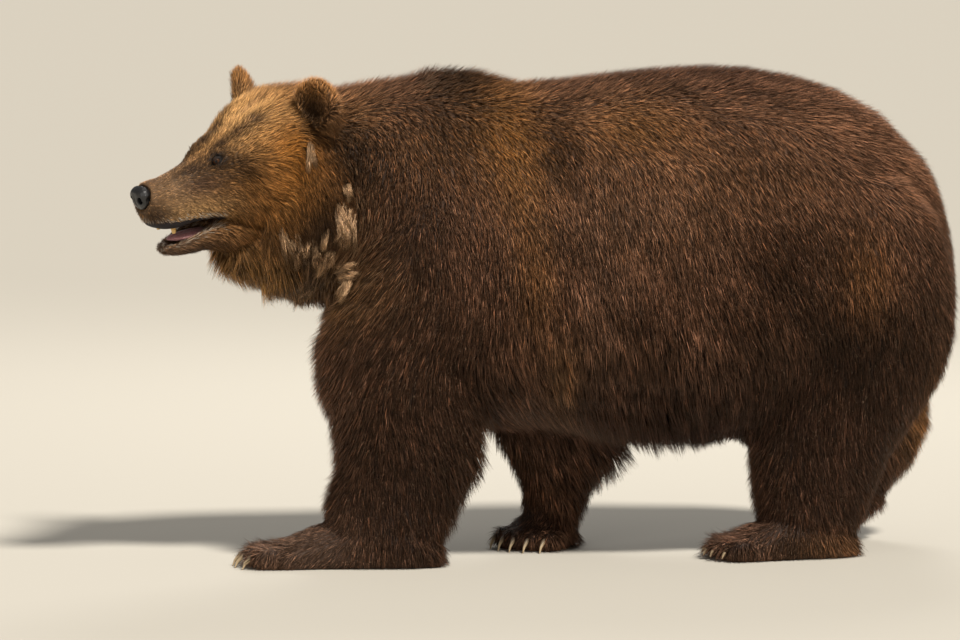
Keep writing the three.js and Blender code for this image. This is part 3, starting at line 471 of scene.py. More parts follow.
# painted shade: the hide under the coat is painted at HIDE_SHADE of the coat's colour, for the dark gaps
# between the locks
hide = tint * HIDE_SHADE
in_muzzle = near_head & (abs(local[:, 1]) < 0.075)
lip = np.where(in_muzzle, 1 - rise(off_lips(local), 0.007, 0.013), 0)[:, None]
hide = hide * (1 - lip) + np.array(LIP_COLOUR) * lip
in_mouth = near_head & (abs(local[:, 1]) < 0.036) & (local[:, 0] > -0.362)
inside = np.where(in_mouth, 1 - rise(off_lips(local), 0.001, 0.004), 0)[:, None]
hide = hide * (1 - inside) + np.array(MOUTH_COLOUR) * inside
rim = (1 - rise(far_from(local, eyes), 0.015, 0.024))[:, None]
hide = hide * (1 - rim) + np.array(LID_COLOUR) * rim


def paint(mesh, colours):
    """Stores a colour for each vertex, for the finish to read."""
    shade = mesh.attributes.new("tint", "FLOAT_COLOR", "POINT")
    solid = np.hstack([colours, np.ones((len(colours), 1))])
    shade.data.foreach_set("color", solid.astype(np.float32).ravel())


paint(skin.data, hide)
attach(skin, "root")
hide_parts(*FLESH)


def finish_of(name, rough, **sockets):
    """A new material with its node tree and shader; each socket is named with _ for a space."""
    material = bpy.data.materials.new(name)
    material.use_nodes = True
    tree = material.node_tree
    shader = tree.nodes["Principled BSDF"]
    shader.inputs["Roughness"].default_value = rough
    for socket, value in sockets.items():
        shader.inputs[socket.replace("_", " ")].default_value = value
    return material, tree, shader


def painted_finish(name, rough, **sockets):
    """A finish whose colour is what was painted on the piece."""
    material, tree, shader = finish_of(name, rough, **sockets)
    painted = tree.nodes.new("ShaderNodeAttribute")
    painted.attribute_name = "tint"
    tree.links.new(painted.outputs["Color"], shader.inputs["Base Color"])
    return material, tree, shader


def roughened(tree, shader, grain, output, strength, height, stretch=None):
    """Fine relief from a pattern that lies still on the piece, if need be drawn out along an axis."""
    place = tree.nodes.new("ShaderNodeTexCoord")
    tree.links.new(place.outputs["Object"], grain.inputs["Vector"])
    if stretch:
        drawn = tree.nodes.new("ShaderNodeMapping")
        drawn.inputs["Scale"].default_value = stretch
        tree.links.new(place.outputs["Object"], drawn.inputs["Vector"])
        tree.links.new(drawn.outputs["Vector"], grain.inputs["Vector"])
    bump = tree.nodes.new("ShaderNodeBump")
    bump.inputs["Strength"].default_value = strength
    bump.inputs["Distance"].default_value = height
    tree.links.new(grain.outputs[output], bump.inputs["Height"])
    tree.links.new(bump.outputs["Normal"], shader.inputs["Normal"])


def finished(made, material):
    """The piece wears this finish alone."""
    made.data.materials.clear()
    made.data.materials.append(material)


hide_finish, tree, shader = painted_finish("tanned_hide", 0.66, Specular_IOR_Level=0.22)
pores = tree.nodes.new("ShaderNodeTexNoise")
pores.inputs["Scale"].default_value = 420
roughened(tree, shader, pores, "Fac", 0.5, 0.0012)
finished(skin, hide_finish)

# The coat: guard hair, set in the hide in thin pointed locks that overlap and lie from nose to tail
# and down the legs. Each lock is a closed solid spike, drawn with its neighbours towards one tip.
BODY_LIE = {  # place, the way the hair lies, length, lift from the hide in degrees
    "withers": ((-0.24, -0.05, 1.07), (0.9, -0.4, -0.1), 0.035, 34),
    "fan_top": ((-0.30, -0.20, 0.97), (0.2, -0.5, -0.9), 0.033, 28),
    "fan_back": ((-0.15, -0.24, 0.90), (0.30, -0.3, -0.9), 0.033, 27),
    "fan_front": ((-0.42, -0.24, 0.86), (-0.35, -0.1, -1), 0.035, 27),
    "shoulder": ((-0.28, -0.29, 0.70), (0.0, -0.1, -1), 0.033, 26),
    "shoulder_front": ((-0.42, -0.26, 0.66), (-0.7, 0, -1), 0.043, 23),
    "upper_arm": ((-0.36, -0.26, 0.48), (-0.5, 0, -1), 0.040, 23),
    "back": ((0.15, -0.05, 1.06), (1, -0.25, -0.1), 0.031, 30),
    "loin": ((0.45, -0.05, 1.07), (1, -0.25, -0.1), 0.031, 30),
    "flank_top": ((0.20, -0.24, 0.94), (0.6, -0.3, -0.9), 0.033, 26),
    "flank_high": ((0.15, -0.28, 0.83), (0.15, -0.2, -1), 0.034, 26),
    "flank_high_back": ((0.45, -0.27, 0.83), (0.28, -0.2, -1), 0.034, 26),
    "flank": ((0.20, -0.31, 0.66), (0.12, -0.1, -1), 0.040, 22),
    "flank_back": ((0.42, -0.30, 0.56), (0.25, -0.1, -1), 0.042, 22),
    "flank_low": ((0.15, -0.26, 0.43), (0.12, 0.05, -1), 0.056, 22),
    "belly_edge": ((0.20, -0.17, 0.32), (0.25, 0.05, -1), 0.100, 44),
    "belly": ((0.20, 0.0, 0.31), (0.55, 0, -0.8), 0.070, 40),
    "rump_top": ((0.75, -0.1, 0.98), (0.8, -0.3, -0.7), 0.035, 30),
    "rump": ((0.90, -0.1, 0.66), (0.15, -0.1, -1), 0.033, 24),
    "thigh": ((0.66, -0.29, 0.60), (0.12, -0.1, -1), 0.035, 24),
    "chest": ((-0.53, -0.02, 0.55), (-0.1, 0, -1), 0.052, 31),
    "neck_side": ((-0.47, -0.18, 0.84), (0.25, -0.2, -1), 0.040, 30),
    "neck_top": ((-0.45, -0.03, 1.02), (1, -0.2, 0.05), 0.033, 33),
    "throat": ((-0.52, 0.0, 0.70), (0.2, 0, -1), 0.054, 29),
    "fore_arm": ((-0.30, -0.20, 0.30), (0.25, 0, -1), 0.036, 25),
    "fore_arm_front": ((-0.47, -0.14, 0.32), (-0.45, 0, -1), 0.040, 34),
    "fore_arm_back": ((-0.15, -0.12, 0.32), (0.6, 0, -1), 0.074, 28),
    "wrist": ((-0.33, -0.18, 0.14), (0.0, 0, -1), 0.029, 23),
    "wrist_back": ((-0.20, -0.14, 0.18), (0.4, 0, -1), 0.060, 26),
    "far_fore_arm": ((0.04, 0.15, 0.26), (0.3, 0, -1), 0.037, 23),
    "far_elbow": ((0.13, 0.13, 0.34), (0.8, 0, -0.8), 0.095, 32),
    "knee": ((0.56, -0.20, 0.36), (-0.1, 0, -1), 0.037, 22),
    "shin": ((0.60, -0.19, 0.20), (0.15, 0, -1), 0.033, 23),
    "shin_front": ((0.46, -0.14, 0.22), (-0.3, 0, -1), 0.035, 31),
    "far_hock": ((0.84, 0.14, 0.25), (0.3, 0, -1), 0.036, 29),
    "hock": ((0.72, -0.14, 0.18), (0.4, 0, -1), 0.033, 29),
}
HEAD_LIE = {
    "nose_bridge": ((-0.360, 0, 0.045), (1, -0.05, 0.1), 0.006, 20),
    "muzzle_side": ((-0.345, -0.050, 0.0), (1, -0.1, -0.2), 0.0065, 24),
    "upper_lip": ((-0.335, -0.050, -0.050), (0.8, -0.1, -0.6), 0.008, 28),
    "under_eye": ((-0.245, -0.075, 0.0), (1, -0.2, -0.4), 0.010, 22),
    "between_eyes": ((-0.250, 0, 0.070), (1, -0.15, 0.3), 0.008, 20),
    "brow": ((-0.200, -0.050, 0.090), (1, -0.35, 0.35), 0.012, 24),
    "forehead": ((-0.130, 0, 0.150), (1, -0.1, 0.3), 0.016, 26),
    "temple": ((-0.110, -0.125, 0.080), (1, -0.2, 0.1), 0.020, 26),
    "cheek": ((-0.130, -0.128, -0.010), (0.9, -0.3, -0.55), 0.032, 26),
    "jowl": ((-0.110, -0.130, -0.100), (0.6, -0.2, -0.9), 0.052, 22),
    "crown": ((-0.01, 0, 0.172), (1, -0.1, 0.2), 0.032, 20),
    "behind_cheek": ((0.02, -0.165, -0.02), (0.5, -0.3, -0.9), 0.060, 28),
    "behind_ear": ((0.06, -0.13, 0.12), (0.9, -0.3, 0.0), 0.050, 28),
    "chin": ((-0.345, 0, -0.128), (1, 0, -0.35), 0.011, 22),
    "jaw_side": ((-0.290, -0.045, -0.115), (1, -0.1, -0.5), 0.017, 20),
    "jaw_angle": ((-0.200, -0.075, -0.130), (0.7, -0.1, -0.8), 0.036, 20),
    "beard": ((-0.13, 0, -0.23), (0.25, 0, -1), 0.080, 16),
    "beard_side": ((-0.10, -0.10, -0.18), (0.35, -0.1, -1), 0.080, 18),
    "ear": ((-0.016, -0.150, 0.170), (0.3, -0.45, 1), 0.018, 26),
    "ear_hollow": ((-0.045, -0.140, 0.140), (0.4, -0.3, 1), 0.020, 26),
    "ear_foot": ((0.0, -0.12, 0.10), (0.5, -0.5, 0.5), 0.030, 30),
}
PAWS = {  # place of the arch and the turn of the foot
    "fore_left": ((-0.50, -0.137, 0.06), -9), "fore_right": ((-0.02, 0.10, 0.06), 46),
    "hind_left": ((0.50, -0.137, 0.06), 4), "hind_right": ((0.72, 0.135, 0.06), 6)}
PAW_SLOPE, PAW_HAIR, PAW_LIFT = -0.6, 0.015, 14
LIE_REACH = {"body": 0.20, "head": 0.065, "paw": 0.085}
FACE_CROWD, BODY_CROWD, LEAST_CROWD, MOST_CROWD = 200000, 2750, 40000, 84000  # locks to a square metre
SHORT_HAIR = 0.018
LENGTH_SPREAD, LIFT_SPREAD, STRAY = (0.72, 1.12), (0.55, 1.45), 0.16
CLUMP, LARGE_CLUMP = 0.55, 3.2
BRIGHT = {"middle": -0.20, "lock": 0.66, "clump": 0.28, "large_clump": 0.20, "wave": 0.20}
# each lock's colour at its corners: painted shade at the root, rising to a tip that is partly bleached and
# partly a painted glint
ROOT_SHADE_TO_TIP_GLINT = (0.24, 0.24, 0.4, 1.6)
GOLD_ABOVE, GOLD_LIFT = 0.93, (1.7, 1.5, 1.3)
LIP_HAIR, LIP_HAIR_SHARE = (0.55, 0.47, 0.38), 0.45
NECK_TAN, NECK_TAN_SHARE = (0.30, 0.175, 0.095), 0.42
BRIGHTEST = 0.74
CELL_KEYS = (73856093, 19349663, 83492791)


def lie_of(points):
    """For each point of the hide: the way its hair lies, the hair's length, and its lift in radians."""
    rows = []
    for name, (place, lie, length, lift) in BODY_LIE.items():
        for flip in (1, -1) if place[1] and "far" not in name else (1,):
            flip = (1, flip, 1)
            rows.append((np.multiply(place, flip), np.multiply(lie, flip), length, lift, LIE_REACH["body"]))
    for place, lie, length, lift in HEAD_LIE.values():
        for flip in (1, -1) if place[1] else (1,):
            flip = (1, flip, 1)
            rows.append((from_head(np.multiply(place, flip)), HEAD_AXES @ np.multiply(lie, flip),
                         length, lift, LIE_REACH["head"]))
    for place, turn in PAWS.values():
        lie = (-cos(radians(turn)), -sin(radians(turn)), PAW_SLOPE)
        rows.append((np.array(place), lie, PAW_HAIR, PAW_LIFT, LIE_REACH["paw"]))
    total = np.zeros((len(points), 6))
    for place, lie, length, lift, reach in rows:
        weight = (((points - place) ** 2).sum(1) / reach ** 2 + 0.02) ** -2.5
        lie = np.array(lie) / np.linalg.norm(lie)
        total += weight[:, None] * np.array([*lie, length, radians(lift), 1.0])
    total /= total[:, 5:]
    return total[:, :3], total[:, 3], total[:, 4]


normals = mesh_normals(skin.data)
lie, hair_length, hair_lift = lie_of(points)
tris = mesh_numbers(skin.data, "loops", "vertex_index", 1).reshape(-1, 3)
uv = np.empty(len(skin.data.loops) * 2, np.float32)
skin.data.uv_layers["OFBake"].uv.foreach_get("vector", uv)
uv = uv.reshape(-1, 3, 2)
corner = points[tris]
area = np.linalg.norm(np.cross(corner[:, 1] - corner[:, 0], corner[:, 2] - corner[:, 0]), axis=1) / 2
middle = corner.mean(1)
tri_length = hair_length[tris].mean(1)
local = in_head(middle)
face = rise(-local[:, 0], -0.02, 0.02) * rise(local[:, 2], -0.17, -0.14) * (middle[:, 0] < -0.45) > 0.5

# no hair grows on the lips, round the eyes, on the nose or under the soles
no_hair = (face & (off_lips(local) < 0.0085) & (abs(local[:, 1]) < 0.075)) | (far_from(local, eyes) < 0.0130)
no_hair |= far_from(local, [NOSE_PLACE]) < 0.024
no_hair |= middle[:, 2] < 0.004
crowd = np.where(face, FACE_CROWD, np.clip(BODY_CROWD / tri_length, LEAST_CROWD, MOST_CROWD))
crowd = np.where(no_hair, 0, crowd)
draw = np.random.default_rng(11)
count = np.floor(area * crowd + draw.random(len(area))).astype(int)
home = np.repeat(np.arange(len(area)), count)
mix = -np.log(draw.random((len(home), 3)) + 1e-6)
mix /= mix.sum(1)[:, None]


def at_root(values):
    """Values given at the hide's points, mixed from the corners of the face that each lock grows on."""
    part = values[tris[home]]
    return (part * (mix if part.ndim == 2 else mix[:, :, None])).sum(1)


root, up = at_root(points), at_root(normals)
up /= np.linalg.norm(up, axis=1)[:, None]
way = at_root(lie)
way -= (way * up).sum(1)[:, None] * up
way /= np.linalg.norm(way, axis=1)[:, None] + 1e-9
long, lift = at_root(hair_length), at_root(hair_lift)
root_uv = (uv[home] * mix[:, :, None]).sum(1)
locks = len(root)
long *= draw.uniform(*LENGTH_SPREAD, locks)
lift *= draw.uniform(*LIFT_SPREAD, locks)
across = np.cross(up, way)
stray = draw.normal(0, STRAY, locks)
way = way * np.cos(stray)[:, None] + across * np.sin(stray)[:, None]
tip = root + long[:, None] * (way * np.cos(lift)[:, None] + up * np.sin(lift)[:, None])


def gathered(tip, spacing, pull):
    """Tips drawn towards the tip of the nearest lead lock; one lock in each cell of the room leads."""
    cell = np.floor(root / spacing[:, None]).astype(np.int64)
    key = (cell * CELL_KEYS).sum(1)
    order = draw.permutation(locks)
    lead = order[np.unique(key[order], return_index=True)[1]]
    tree = KDTree(len(lead))
    for i, index in enumerate(lead):
        tree.insert(root[index], i)
    tree.balance()
    own = lead[np.array([tree.find(place)[1] for place in root])]
    offset = root - root[own]
    target = tip[own] + offset * 0.35
    pull = pull * np.clip(2 - np.linalg.norm(offset, axis=1) / spacing, 0, 1)
    return tip + (target - tip) * pull[:, None], own


small = np.clip(long * 0.22, 0.004, 0.014)
tip, own = gathered(tip, small, CLUMP)
tip, own_large = gathered(tip, small * LARGE_CLUMP, np.clip(long * 5.5, 0.2, 0.5))
thick = np.clip(long * 0.048, 0.0011, 0.0022) * draw.uniform(0.8, 1.25, locks)

# colour: each lock is darker or lighter than its markings, and so is each clump and each wave of hair
colour = coat_colour(root)
plain = np.where(face[home] & (long < SHORT_HAIR), 0.85, 1.1)
bright = (draw.normal(BRIGHT["middle"], BRIGHT["lock"], locks) + draw.normal(0, BRIGHT["clump"], locks)[own]
          + draw.normal(0, BRIGHT["large_clump"], locks)[own_large]) * plain
waves = sum(np.sin(root @ draw.normal(0, 22, 3) + draw.uniform(0, 6)) for turn in range(10)) / 10 ** 0.5
bright += BRIGHT["wave"] * waves * ~face[home]
colour *= np.exp(bright)[:, None]
gold = draw.random(locks)[own] > GOLD_ABOVE
colour = np.where((gold & ~face[home])[:, None], colour * GOLD_LIFT, colour)
head_root = in_head(root)
by_lips = np.exp(-((off_lips(head_root) - 0.011) / 0.006) ** 2) * (head_root[:, 0] < -0.24) * face[home]
pale = (draw.random(locks) < LIP_HAIR_SHARE * by_lips)[:, None]
colour = np.where(pale, LIP_HAIR, colour)
in_neck = np.exp(-(((root - (-0.495, 0, 0.72)) / (0.075, 1, 0.10)) ** 2).sum(1)) * ~face[home]
tan = (draw.random(locks)[own] < NECK_TAN_SHARE * in_neck)[:, None]
colour = np.where(tan, NECK_TAN, colour)
colour *= np.minimum(1, BRIGHTEST / colour.max(1))[:, None]

# the spikes: two corners under the hide, a ridge over them, and the tip; darkened at the root with painted
# shade, and lighter above, partly bleached hair and partly a painted glint at the tip
flow = tip - root
flow /= np.linalg.norm(flow, axis=1)[:, None]
across = np.cross(up, flow)
across /= np.linalg.norm(across, axis=1)[:, None]
over = np.cross(flow, across)
base = root - flow * thick[:, None] - up * thick[:, None] * 0.4
half = (across * thick[:, None]) / 2
spikes = np.stack([base - half, base + half, base + over * thick[:, None] * 0.45, tip], 1)
spikes[:, :, 2] = np.maximum(spikes[:, :, 2], 0.0008)
shades = np.stack([colour * share for share in ROOT_SHADE_TO_TIP_GLINT], 1)
SPIKE = np.array([(0, 1, 2), (1, 0, 3), (2, 1, 3), (0, 2, 3)])
PATCH_SIZE = 0.003
PATCH = np.array([(-0.5, -0.5), (0.5, -0.5), (0, -0.2), (0, 0.5)]) * PATCH_SIZE


def coat_piece(name, chosen):
    """One piece of the coat, made of the chosen spikes."""
    mesh = bpy.data.meshes.new(name)
    number = len(chosen)
    mesh.vertices.add(number * 4)
    mesh.vertices.foreach_set("co", spikes[chosen].astype(np.float32).ravel())
    corners = (SPIKE.ravel()[None, :] + np.arange(number)[:, None] * 4).ravel()
    mesh.loops.add(number * 12)
    mesh.loops.foreach_set("vertex_index", corners.astype(np.int32))
    mesh.polygons.add(number * 4)
    mesh.polygons.foreach_set("loop_start", np.arange(number * 4, dtype=np.int32) * 3)
    layer = mesh.uv_layers.new(name="OFBake")
    patch = root_uv[chosen][:, None, :] + PATCH[SPIKE.ravel()][None]
    layer.uv.foreach_set("vector", patch.astype(np.float32).ravel())
    paint(mesh, shades[chosen].reshape(-1, 3))
    mesh.update(calc_edges=True)
    mesh.materials.append(coat_finish)
    made = bpy.data.objects.new(name, mesh)
    scene.collection.objects.link(made)
    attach(made, "root")
    return made


# the coat is cut in pieces by place, each numbered by its line in this table; right follows left
COAT_SLOTS = {"coat_head_left": "coat_face", "coat_head_right": "coat_face", "coat_neck": "coat_neck",
              "coat_fore_leg_left": "coat_legs", "coat_fore_leg_right": "coat_legs",
              "coat_hind_leg_left": "coat_legs", "coat_hind_leg_right": "coat_legs",
              "coat_shoulder_left": "coat_dark", "coat_shoulder_right": "coat_dark",
              "coat_flank_left": "coat_dark", "coat_flank_right": "coat_dark",
              "coat_rump_left": "coat_dark", "coat_rump_right": "coat_dark"}
HEAD, NECK, FORE_LEG, HIND_LEG, SHOULDER, FLANK, RUMP = 0, 2, 3, 5, 7, 9, 11
LEG_TOP, FORE_LEG_END, NECK_END, SHOULDER_END, FLANK_END = 0.34, 0.3, -0.40, 0.1, 0.5
coat_finish, tree, shader = painted_finish("guard_hair", 0.34, Specular_IOR_Level=0.5,
                                           Specular_Tint=(1.0, 0.66, 0.42, 1))
leg = np.where(root[:, 0] < FORE_LEG_END, FORE_LEG, HIND_LEG)
side_part = np.where(root[:, 0] < SHOULDER_END, SHOULDER, np.where(root[:, 0] < FLANK_END, FLANK, RUMP))
group = np.where(root[:, 2] < LEG_TOP, leg, side_part) + (root[:, 1] > 0)
group = np.where((root[:, 0] < NECK_END) & (root[:, 2] > LEG_TOP), NECK, group)
group = np.where(face[home], HEAD + (head_root[:, 1] > 0), group)
for number, (name, slot) in enumerate(COAT_SLOTS.items()):
    coat_piece(name, np.flatnonzero(group == number))

# Shed wool: pale matted tufts of last winter's undercoat, left hanging in the coat of the neck. Each
# is a few flat flames, and each flame a bundle of thin locks drawn down to one point.
SHED = {  # x and z of the top, half width, length, the way it hangs in degrees from plumb, flames
    "small": (-0.475, 0.838, 0.004, 0.040, 15, 3), "upper": (-0.487, 0.790, 0.012, 0.088, 10, 8),
    "upper_tips": (-0.480, 0.745, 0.012, 0.045, 168, 3), "upper_back": (-0.463, 0.765, 0.010, 0.080, -5, 7),
    "ruff": (-0.606, 0.736, 0.006, 0.098, 5, 4), "ruff_back": (-0.580, 0.728, 0.008, 0.098, 8, 5),
    "middle": (-0.545, 0.715, 0.008, 0.060, 5, 5), "middle_back": (-0.505, 0.690, 0.010, 0.064, -8, 6),
    "wide": (-0.488, 0.652, 0.008, 0.072, 106, 7), "wide_low": (-0.482, 0.640, 0.007, 0.064, 84, 5),
    "low": (-0.452, 0.628, 0.005, 0.056, -22, 4),
    "cheek": (-0.548, 0.915, 0.004, 0.066, -10, 4), "hanging": (-0.522, 0.738, 0.008, 0.050, 0, 3),
    "throat": (-0.560, 0.640, 0.010, 0.060, 3, 3), "throat_back": (-0.520, 0.610, 0.010, 0.055, -6, 3)}
FLAME_LOCKS, FLAME_REACH = 110, (0.65, 1.1)
WOOL_ROOT_TO_TIP = (0.4, 0.4, 0.5, 1.1)
WOOL_COLOUR = np.array((0.50, 0.315, 0.175))
skin_tree = BVHTree.FromPolygons(mesh_points(skin.data).tolist(), tris.tolist())
middle_uv = uv.mean(1)
shed_spikes, shed_shades, shed_uv = [], [], []
for x, z, half_wide, length, lean, flames in SHED.values():
    for side in np.repeat(list(SIDES.values()), flames):
        x_here = x + draw.uniform(-1, 1) * half_wide + (0.02 if side > 0 else 0)
        z_here = z + draw.uniform(-0.010, 0.010)
        spot, facing, _, _ = skin_tree.ray_cast(Vector((x_here, side, z_here)), Vector((0, -side, 0)))
        facing, hang = np.array(facing), radians(lean + draw.normal(0, 9))
        hang = np.array((sin(hang), 0, -cos(hang)))
        hang -= facing * (hang @ facing)
        hang /= np.linalg.norm(hang)
        beside, reach = np.cross(facing, hang), length * draw.uniform(*FLAME_REACH)
        along, off = draw.uniform(0, 0.6, FLAME_LOCKS), draw.uniform(-1, 1, FLAME_LOCKS)
        off *= draw.uniform(0.0048, 0.0078) * (1 - along ** 2) * np.minimum(along * 6 + 0.4, 1)
        base = np.array(spot) + hang * (along * reach)[:, None] + beside * off[:, None]
        near_faces = [skin_tree.find_nearest(Vector(place)) for place in base]
        lie_out = np.array([hit[1] for hit in near_faces])
        lifted = 0.0065 + 0.008 * along + draw.uniform(0, 0.007, FLAME_LOCKS)
        base = np.array([hit[0] for hit in near_faces]) + lie_out * lifted[:, None]
        run = np.maximum(reach * draw.uniform(0.72, 1.08, FLAME_LOCKS) - along * reach, 0.010)
        drift = off * 0.7 + draw.normal(0, 0.0030, FLAME_LOCKS)
        end = base + hang * run[:, None] - beside * drift[:, None]
        under_tips = [skin_tree.find_nearest(Vector(place)) for place in end]
        end = np.array([hit[0] + hit[1] * draw.uniform(0.008, 0.020) for hit in under_tips])
        wide = beside * draw.uniform(0.0005, 0.0009, (FLAME_LOCKS, 1))
        shed_spikes.append(np.stack([base - wide, base + wide, base + lie_out * 0.0010, end], 1))
        wool = WOOL_COLOUR * np.exp(draw.normal(0, 0.2) + draw.normal(0, 0.42, (FLAME_LOCKS, 1)))
        shed_shades.append(np.stack([wool * share for share in WOOL_ROOT_TO_TIP], 1))
        shed_uv.append(middle_uv[[hit[2] for hit in near_faces]])
first = len(spikes)
spikes = np.concatenate([spikes, *shed_spikes])
shades = np.concatenate([shades, *shed_shades])
root_uv = np.concatenate([root_uv, *shed_uv])
coat_piece("shed_tufts", np.arange(first, len(spikes)))

# The eyes: glass, blown solid and painted from behind, with a dark brown iris and a clear cornea that
# stands a little proud; they are set deep behind the lids.
BALL_COLOUR, PUPIL_COLOUR = np.array((0.022, 0.017, 0.014)), np.array((0.004, 0.004, 0.004))
IRIS_COLOUR = np.array((0.055, 0.022, 0.009))
CORNEA = 0.0009
eye_finish, tree, shader = painted_finish("eye_glass", 0.10, Specular_IOR_Level=0.18)
for (flank, side), eye in zip(SIDES.items(), eyes):
    bpy.ops.object.select_all(action="DESELECT")
    bpy.ops.mesh.primitive_uv_sphere_add(segments=32, ring_count=20, radius=EYE_RADIUS,
                                         location=from_head(eye))
    ball = settle_object(f"glass_eye_{flank}")
    looks = HEAD_AXES @ np.array(Vector((EYE_LOOKS[0], EYE_LOOKS[1] * side, EYE_LOOKS[2])).normalized())
    points = mesh_points(ball.data)
    out = (points - from_head(eye)) / EYE_RADIUS
    turned = out @ looks
    put_points(ball.data, points + out * (rise(turned, 0.72, 0.95) * CORNEA)[:, None])
    iris = rise(turned, 0.70, 0.76)[:, None]
    pupil = rise(turned, 0.93, 0.96)[:, None]
    shade = BALL_COLOUR * (1 - iris) + IRIS_COLOUR * iris
    paint(ball.data, shade * (1 - pupil) + PUPIL_COLOUR * pupil)
    bpy.ops.object.shade_smooth()
    ball.data.materials.append(eye_finish)
    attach(ball, "root")
    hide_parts(f"eye_{flank}")

# The nose pad: black, moist and finely grained, a little smaller than its solid, with a groove down the
# middle and the two comma nostrils, which are cut in the solid; both are darkened with painted shade.
NOSE_COLOUR = np.array((0.009, 0.0085, 0.009))


def on_skin(name, node, voxel, rounds):
    """A smooth copy of one or more CAD nodes, which it replaces."""
    nodes = [node] if isinstance(node, str) else node
    made = copy_of(nodes, name)
    remeshed(made, voxel)
    soften = made.modifiers.new("soften", "SMOOTH")
    soften.factor, soften.iterations = 0.5, rounds
    bpy.ops.object.modifier_apply(modifier=soften.name)
    bpy.ops.object.shade_smooth()
    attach(made, "root")
    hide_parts(*nodes)
    return made


nose = on_skin("nose_pad", "nose", 0.0013, 7)
points = mesh_points(nose.data)
local = in_head(points)
groove = np.exp(-(local[:, 1] / 0.0022) ** 2) * rise(-local[:, 0], 0.398, 0.408)
groove *= rise(-local[:, 2], -0.022, 0.01)
comma = [far_from(local, [(-0.406 + 0.008 * k, side * (0.016 + 0.0085 * k), 0.003 + 0.003 * k)])
         for side in SIDES.values() for k in (0, 0.5, 1, 1.5)]
comma = 1 - rise(np.min(comma, axis=0), 0.004, 0.0085)
local[:, 0] += 0.0022 * groove
tuck = rise(local[:, 0], -0.402, -0.386)[:, None]
local[:, 1:] = (0, 0.006) + (local[:, 1:] - (0, 0.006)) * (0.95 - 0.04 * tuck)
local += (np.array((-0.395, 0, 0.004)) - local) * (comma * 0.10)[:, None]
put_points(nose.data, from_head(local))
# painted shade: the pad is darker in the nostrils and along the groove
paint(nose.data, NOSE_COLOUR * (1 - 0.75 * np.maximum(comma, groove * 0.6))[:, None])
nose_finish, tree, shader = painted_finish("moist_nose", 0.36, Specular_IOR_Level=0.45, Coat_Weight=0.15,
                                           Coat_Roughness=0.25)
grain = tree.nodes.new("ShaderNodeTexVoronoi")
grain.inputs["Scale"].default_value = 620
roughened(tree, shader, grain, "Distance", 0.45, 0.0007)
finished(nose, nose_finish)

# The mouth: a moist pink tongue, worn ivory canines stained at the gum, and two rows of small front
# teeth, each cast and set in the painted gums.
tongue = on_skin("tongue_cast", "tongue", 0.0020, 8)
points = mesh_points(tongue.data)
local = in_head(points)
local[:, 2] -= 0.0030 * np.exp(-(local[:, 1] / 0.004) ** 2) * rise(local[:, 2], -0.101, -0.093)
put_points(tongue.data, from_head(local))
tongue_finish, tree, shader = finish_of("moist_tongue", 0.30, Specular_IOR_Level=0.5)
bumps = tree.nodes.new("ShaderNodeTexNoise")
bumps.inputs["Scale"].default_value = 380
roughened(tree, shader, bumps, "Fac", 0.5, 0.0008)
blend = tree.nodes.new("ShaderNodeValToRGB")
blend.color_ramp.elements[0].position, blend.color_ramp.elements[1].position = 0.35, 0.7
blend.color_ramp.elements[0].color = (0.36, 0.150, 0.155, 1)
blend.color_ramp.elements[1].color = (0.60, 0.33, 0.32, 1)
tree.links.new(bumps.outputs["Fac"], blend.inputs["Fac"])
tree.links.new(blend.outputs["Color"], shader.inputs["Base Color"])
finished(tongue, tongue_finish)

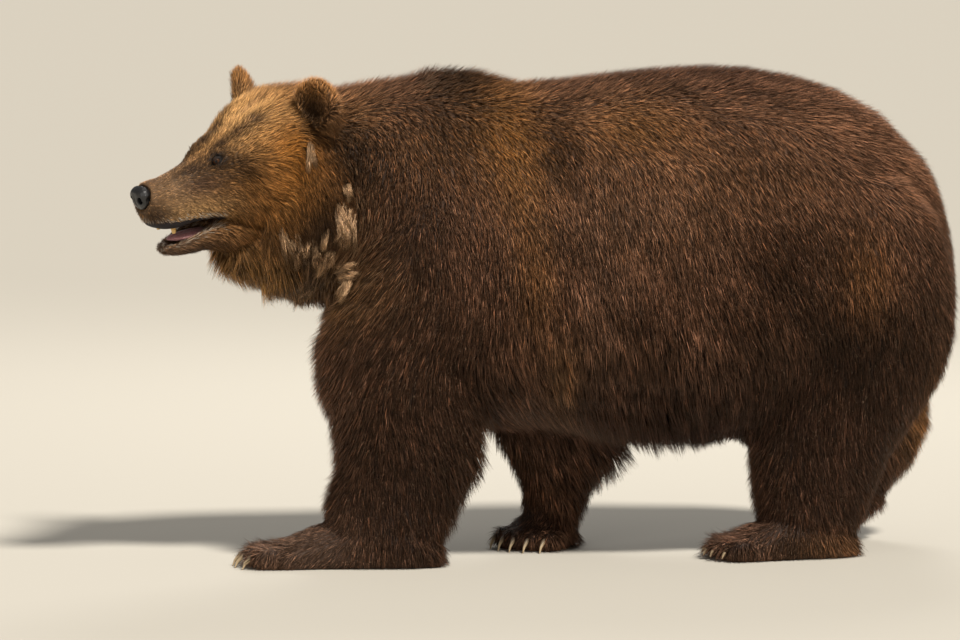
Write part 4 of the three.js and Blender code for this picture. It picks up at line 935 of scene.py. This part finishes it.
tooth_finish, tree, shader = painted_finish("worn_tooth", 0.28, Specular_IOR_Level=0.5)
CANINE_ROOT, CANINE_TIP = np.array((0.36, 0.15, 0.030)), np.array((0.66, 0.42, 0.14))
TOOTH_ROOT, TOOTH_TIP = np.array((0.50, 0.30, 0.11)), np.array((0.70, 0.56, 0.33))
TOOTH_SIZE = (0.0060, 0.0054, 0.0120)
TOOTH_ROW = {"upper": (-0.366, 0.0056, -0.0540), "lower": (-0.357, 0.0046, -0.1165)}  # front, spacing, height
ROW_BOW = 0.0006
GUM_LEVEL = {"upper": -0.058, "lower": -0.112}
WORN_TO = {"upper": 0.95, "lower": 0.25}
for row, down in (("upper", -1), ("lower", 1)):
    for flank, side in SIDES.items():
        canine = on_skin(f"tooth_{row}_{flank}", f"canine_{row}_{flank}", 0.0008, 4)
        shape = in_head(mesh_points(canine.data))
        shape[:, 2] = GUM_LEVEL[row] + (shape[:, 2] - GUM_LEVEL[row]) * WORN_TO[row]
        put_points(canine.data, from_head(shape))
        height = (shape[:, 2] - GUM_LEVEL[row]) * down
        share = rise(height, 0.0, 0.020)[:, None]
        paint(canine.data, CANINE_ROOT * (1 - share) + CANINE_TIP * share)
        finished(canine, tooth_finish)
    teeth = []
    front, spacing, level = TOOTH_ROW[row]
    for number in range(6):
        along = number - 2.5
        middle = (front + along ** 2 * ROW_BOW, along * spacing, level)
        bpy.ops.object.select_all(action="DESELECT")
        bpy.ops.mesh.primitive_cube_add(size=1, location=(0, 0, 0))
        tooth = settle_object(f"front_tooth_{number}")
        bevel = tooth.modifiers.new("round", "SUBSURF")
        bevel.levels = bevel.render_levels = 2
        bpy.ops.object.modifier_apply(modifier=bevel.name)
        shape = mesh_points(tooth.data) * TOOTH_SIZE
        shape[:, :2] *= 1 + 12 * down * shape[:, 2:]
        put_points(tooth.data, from_head(shape + middle))
        share = rise(shape[:, 2] * down, -0.002, 0.006)[:, None]
        paint(tooth.data, TOOTH_ROOT * (1 - share) + TOOTH_TIP * share)
        teeth.append(tooth)
    bpy.ops.object.select_all(action="DESELECT")
    for tooth in teeth:
        tooth.select_set(True)
    bpy.context.view_layer.objects.active = teeth[0]
    bpy.ops.object.join()
    teeth[0].name = f"front_teeth_{row}"
    bpy.ops.object.shade_smooth()
    finished(teeth[0], tooth_finish)
    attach(teeth[0], "root")

# The claws: pale worn horn, five to a paw, darker at the root, with fine lengthwise grain. Each is a
# smooth copy of its solid, set in the toe.
horn_finish, tree, shader = painted_finish("worn_horn", 0.38, Specular_IOR_Level=0.5)
ridges = tree.nodes.new("ShaderNodeTexNoise")
ridges.inputs["Scale"].default_value = 1
roughened(tree, shader, ridges, "Fac", 0.4, 0.0006, stretch=(60, 900, 260))
HORN_ROOT, HORN_TIP = np.array((0.060, 0.038, 0.024)), np.array((0.44, 0.33, 0.20))
for end in ("fore", "hind"):
    for flank in SIDES:
        toes = [f"{end}_claw_{flank}_{toe}" for toe in range(1, 6)]
        claws = on_skin(f"claws_{end}_{flank}", toes, 0.0013, 5)
        points = mesh_points(claws.data)
        share = (1 - rise(points[:, 2], 0.012, 0.036))[:, None]
        wear = draw.normal(1, 0.06, (len(points), 1))
        paint(claws.data, (HORN_ROOT * (1 - share) + HORN_TIP * share) * wear)
        finished(claws, horn_finish)
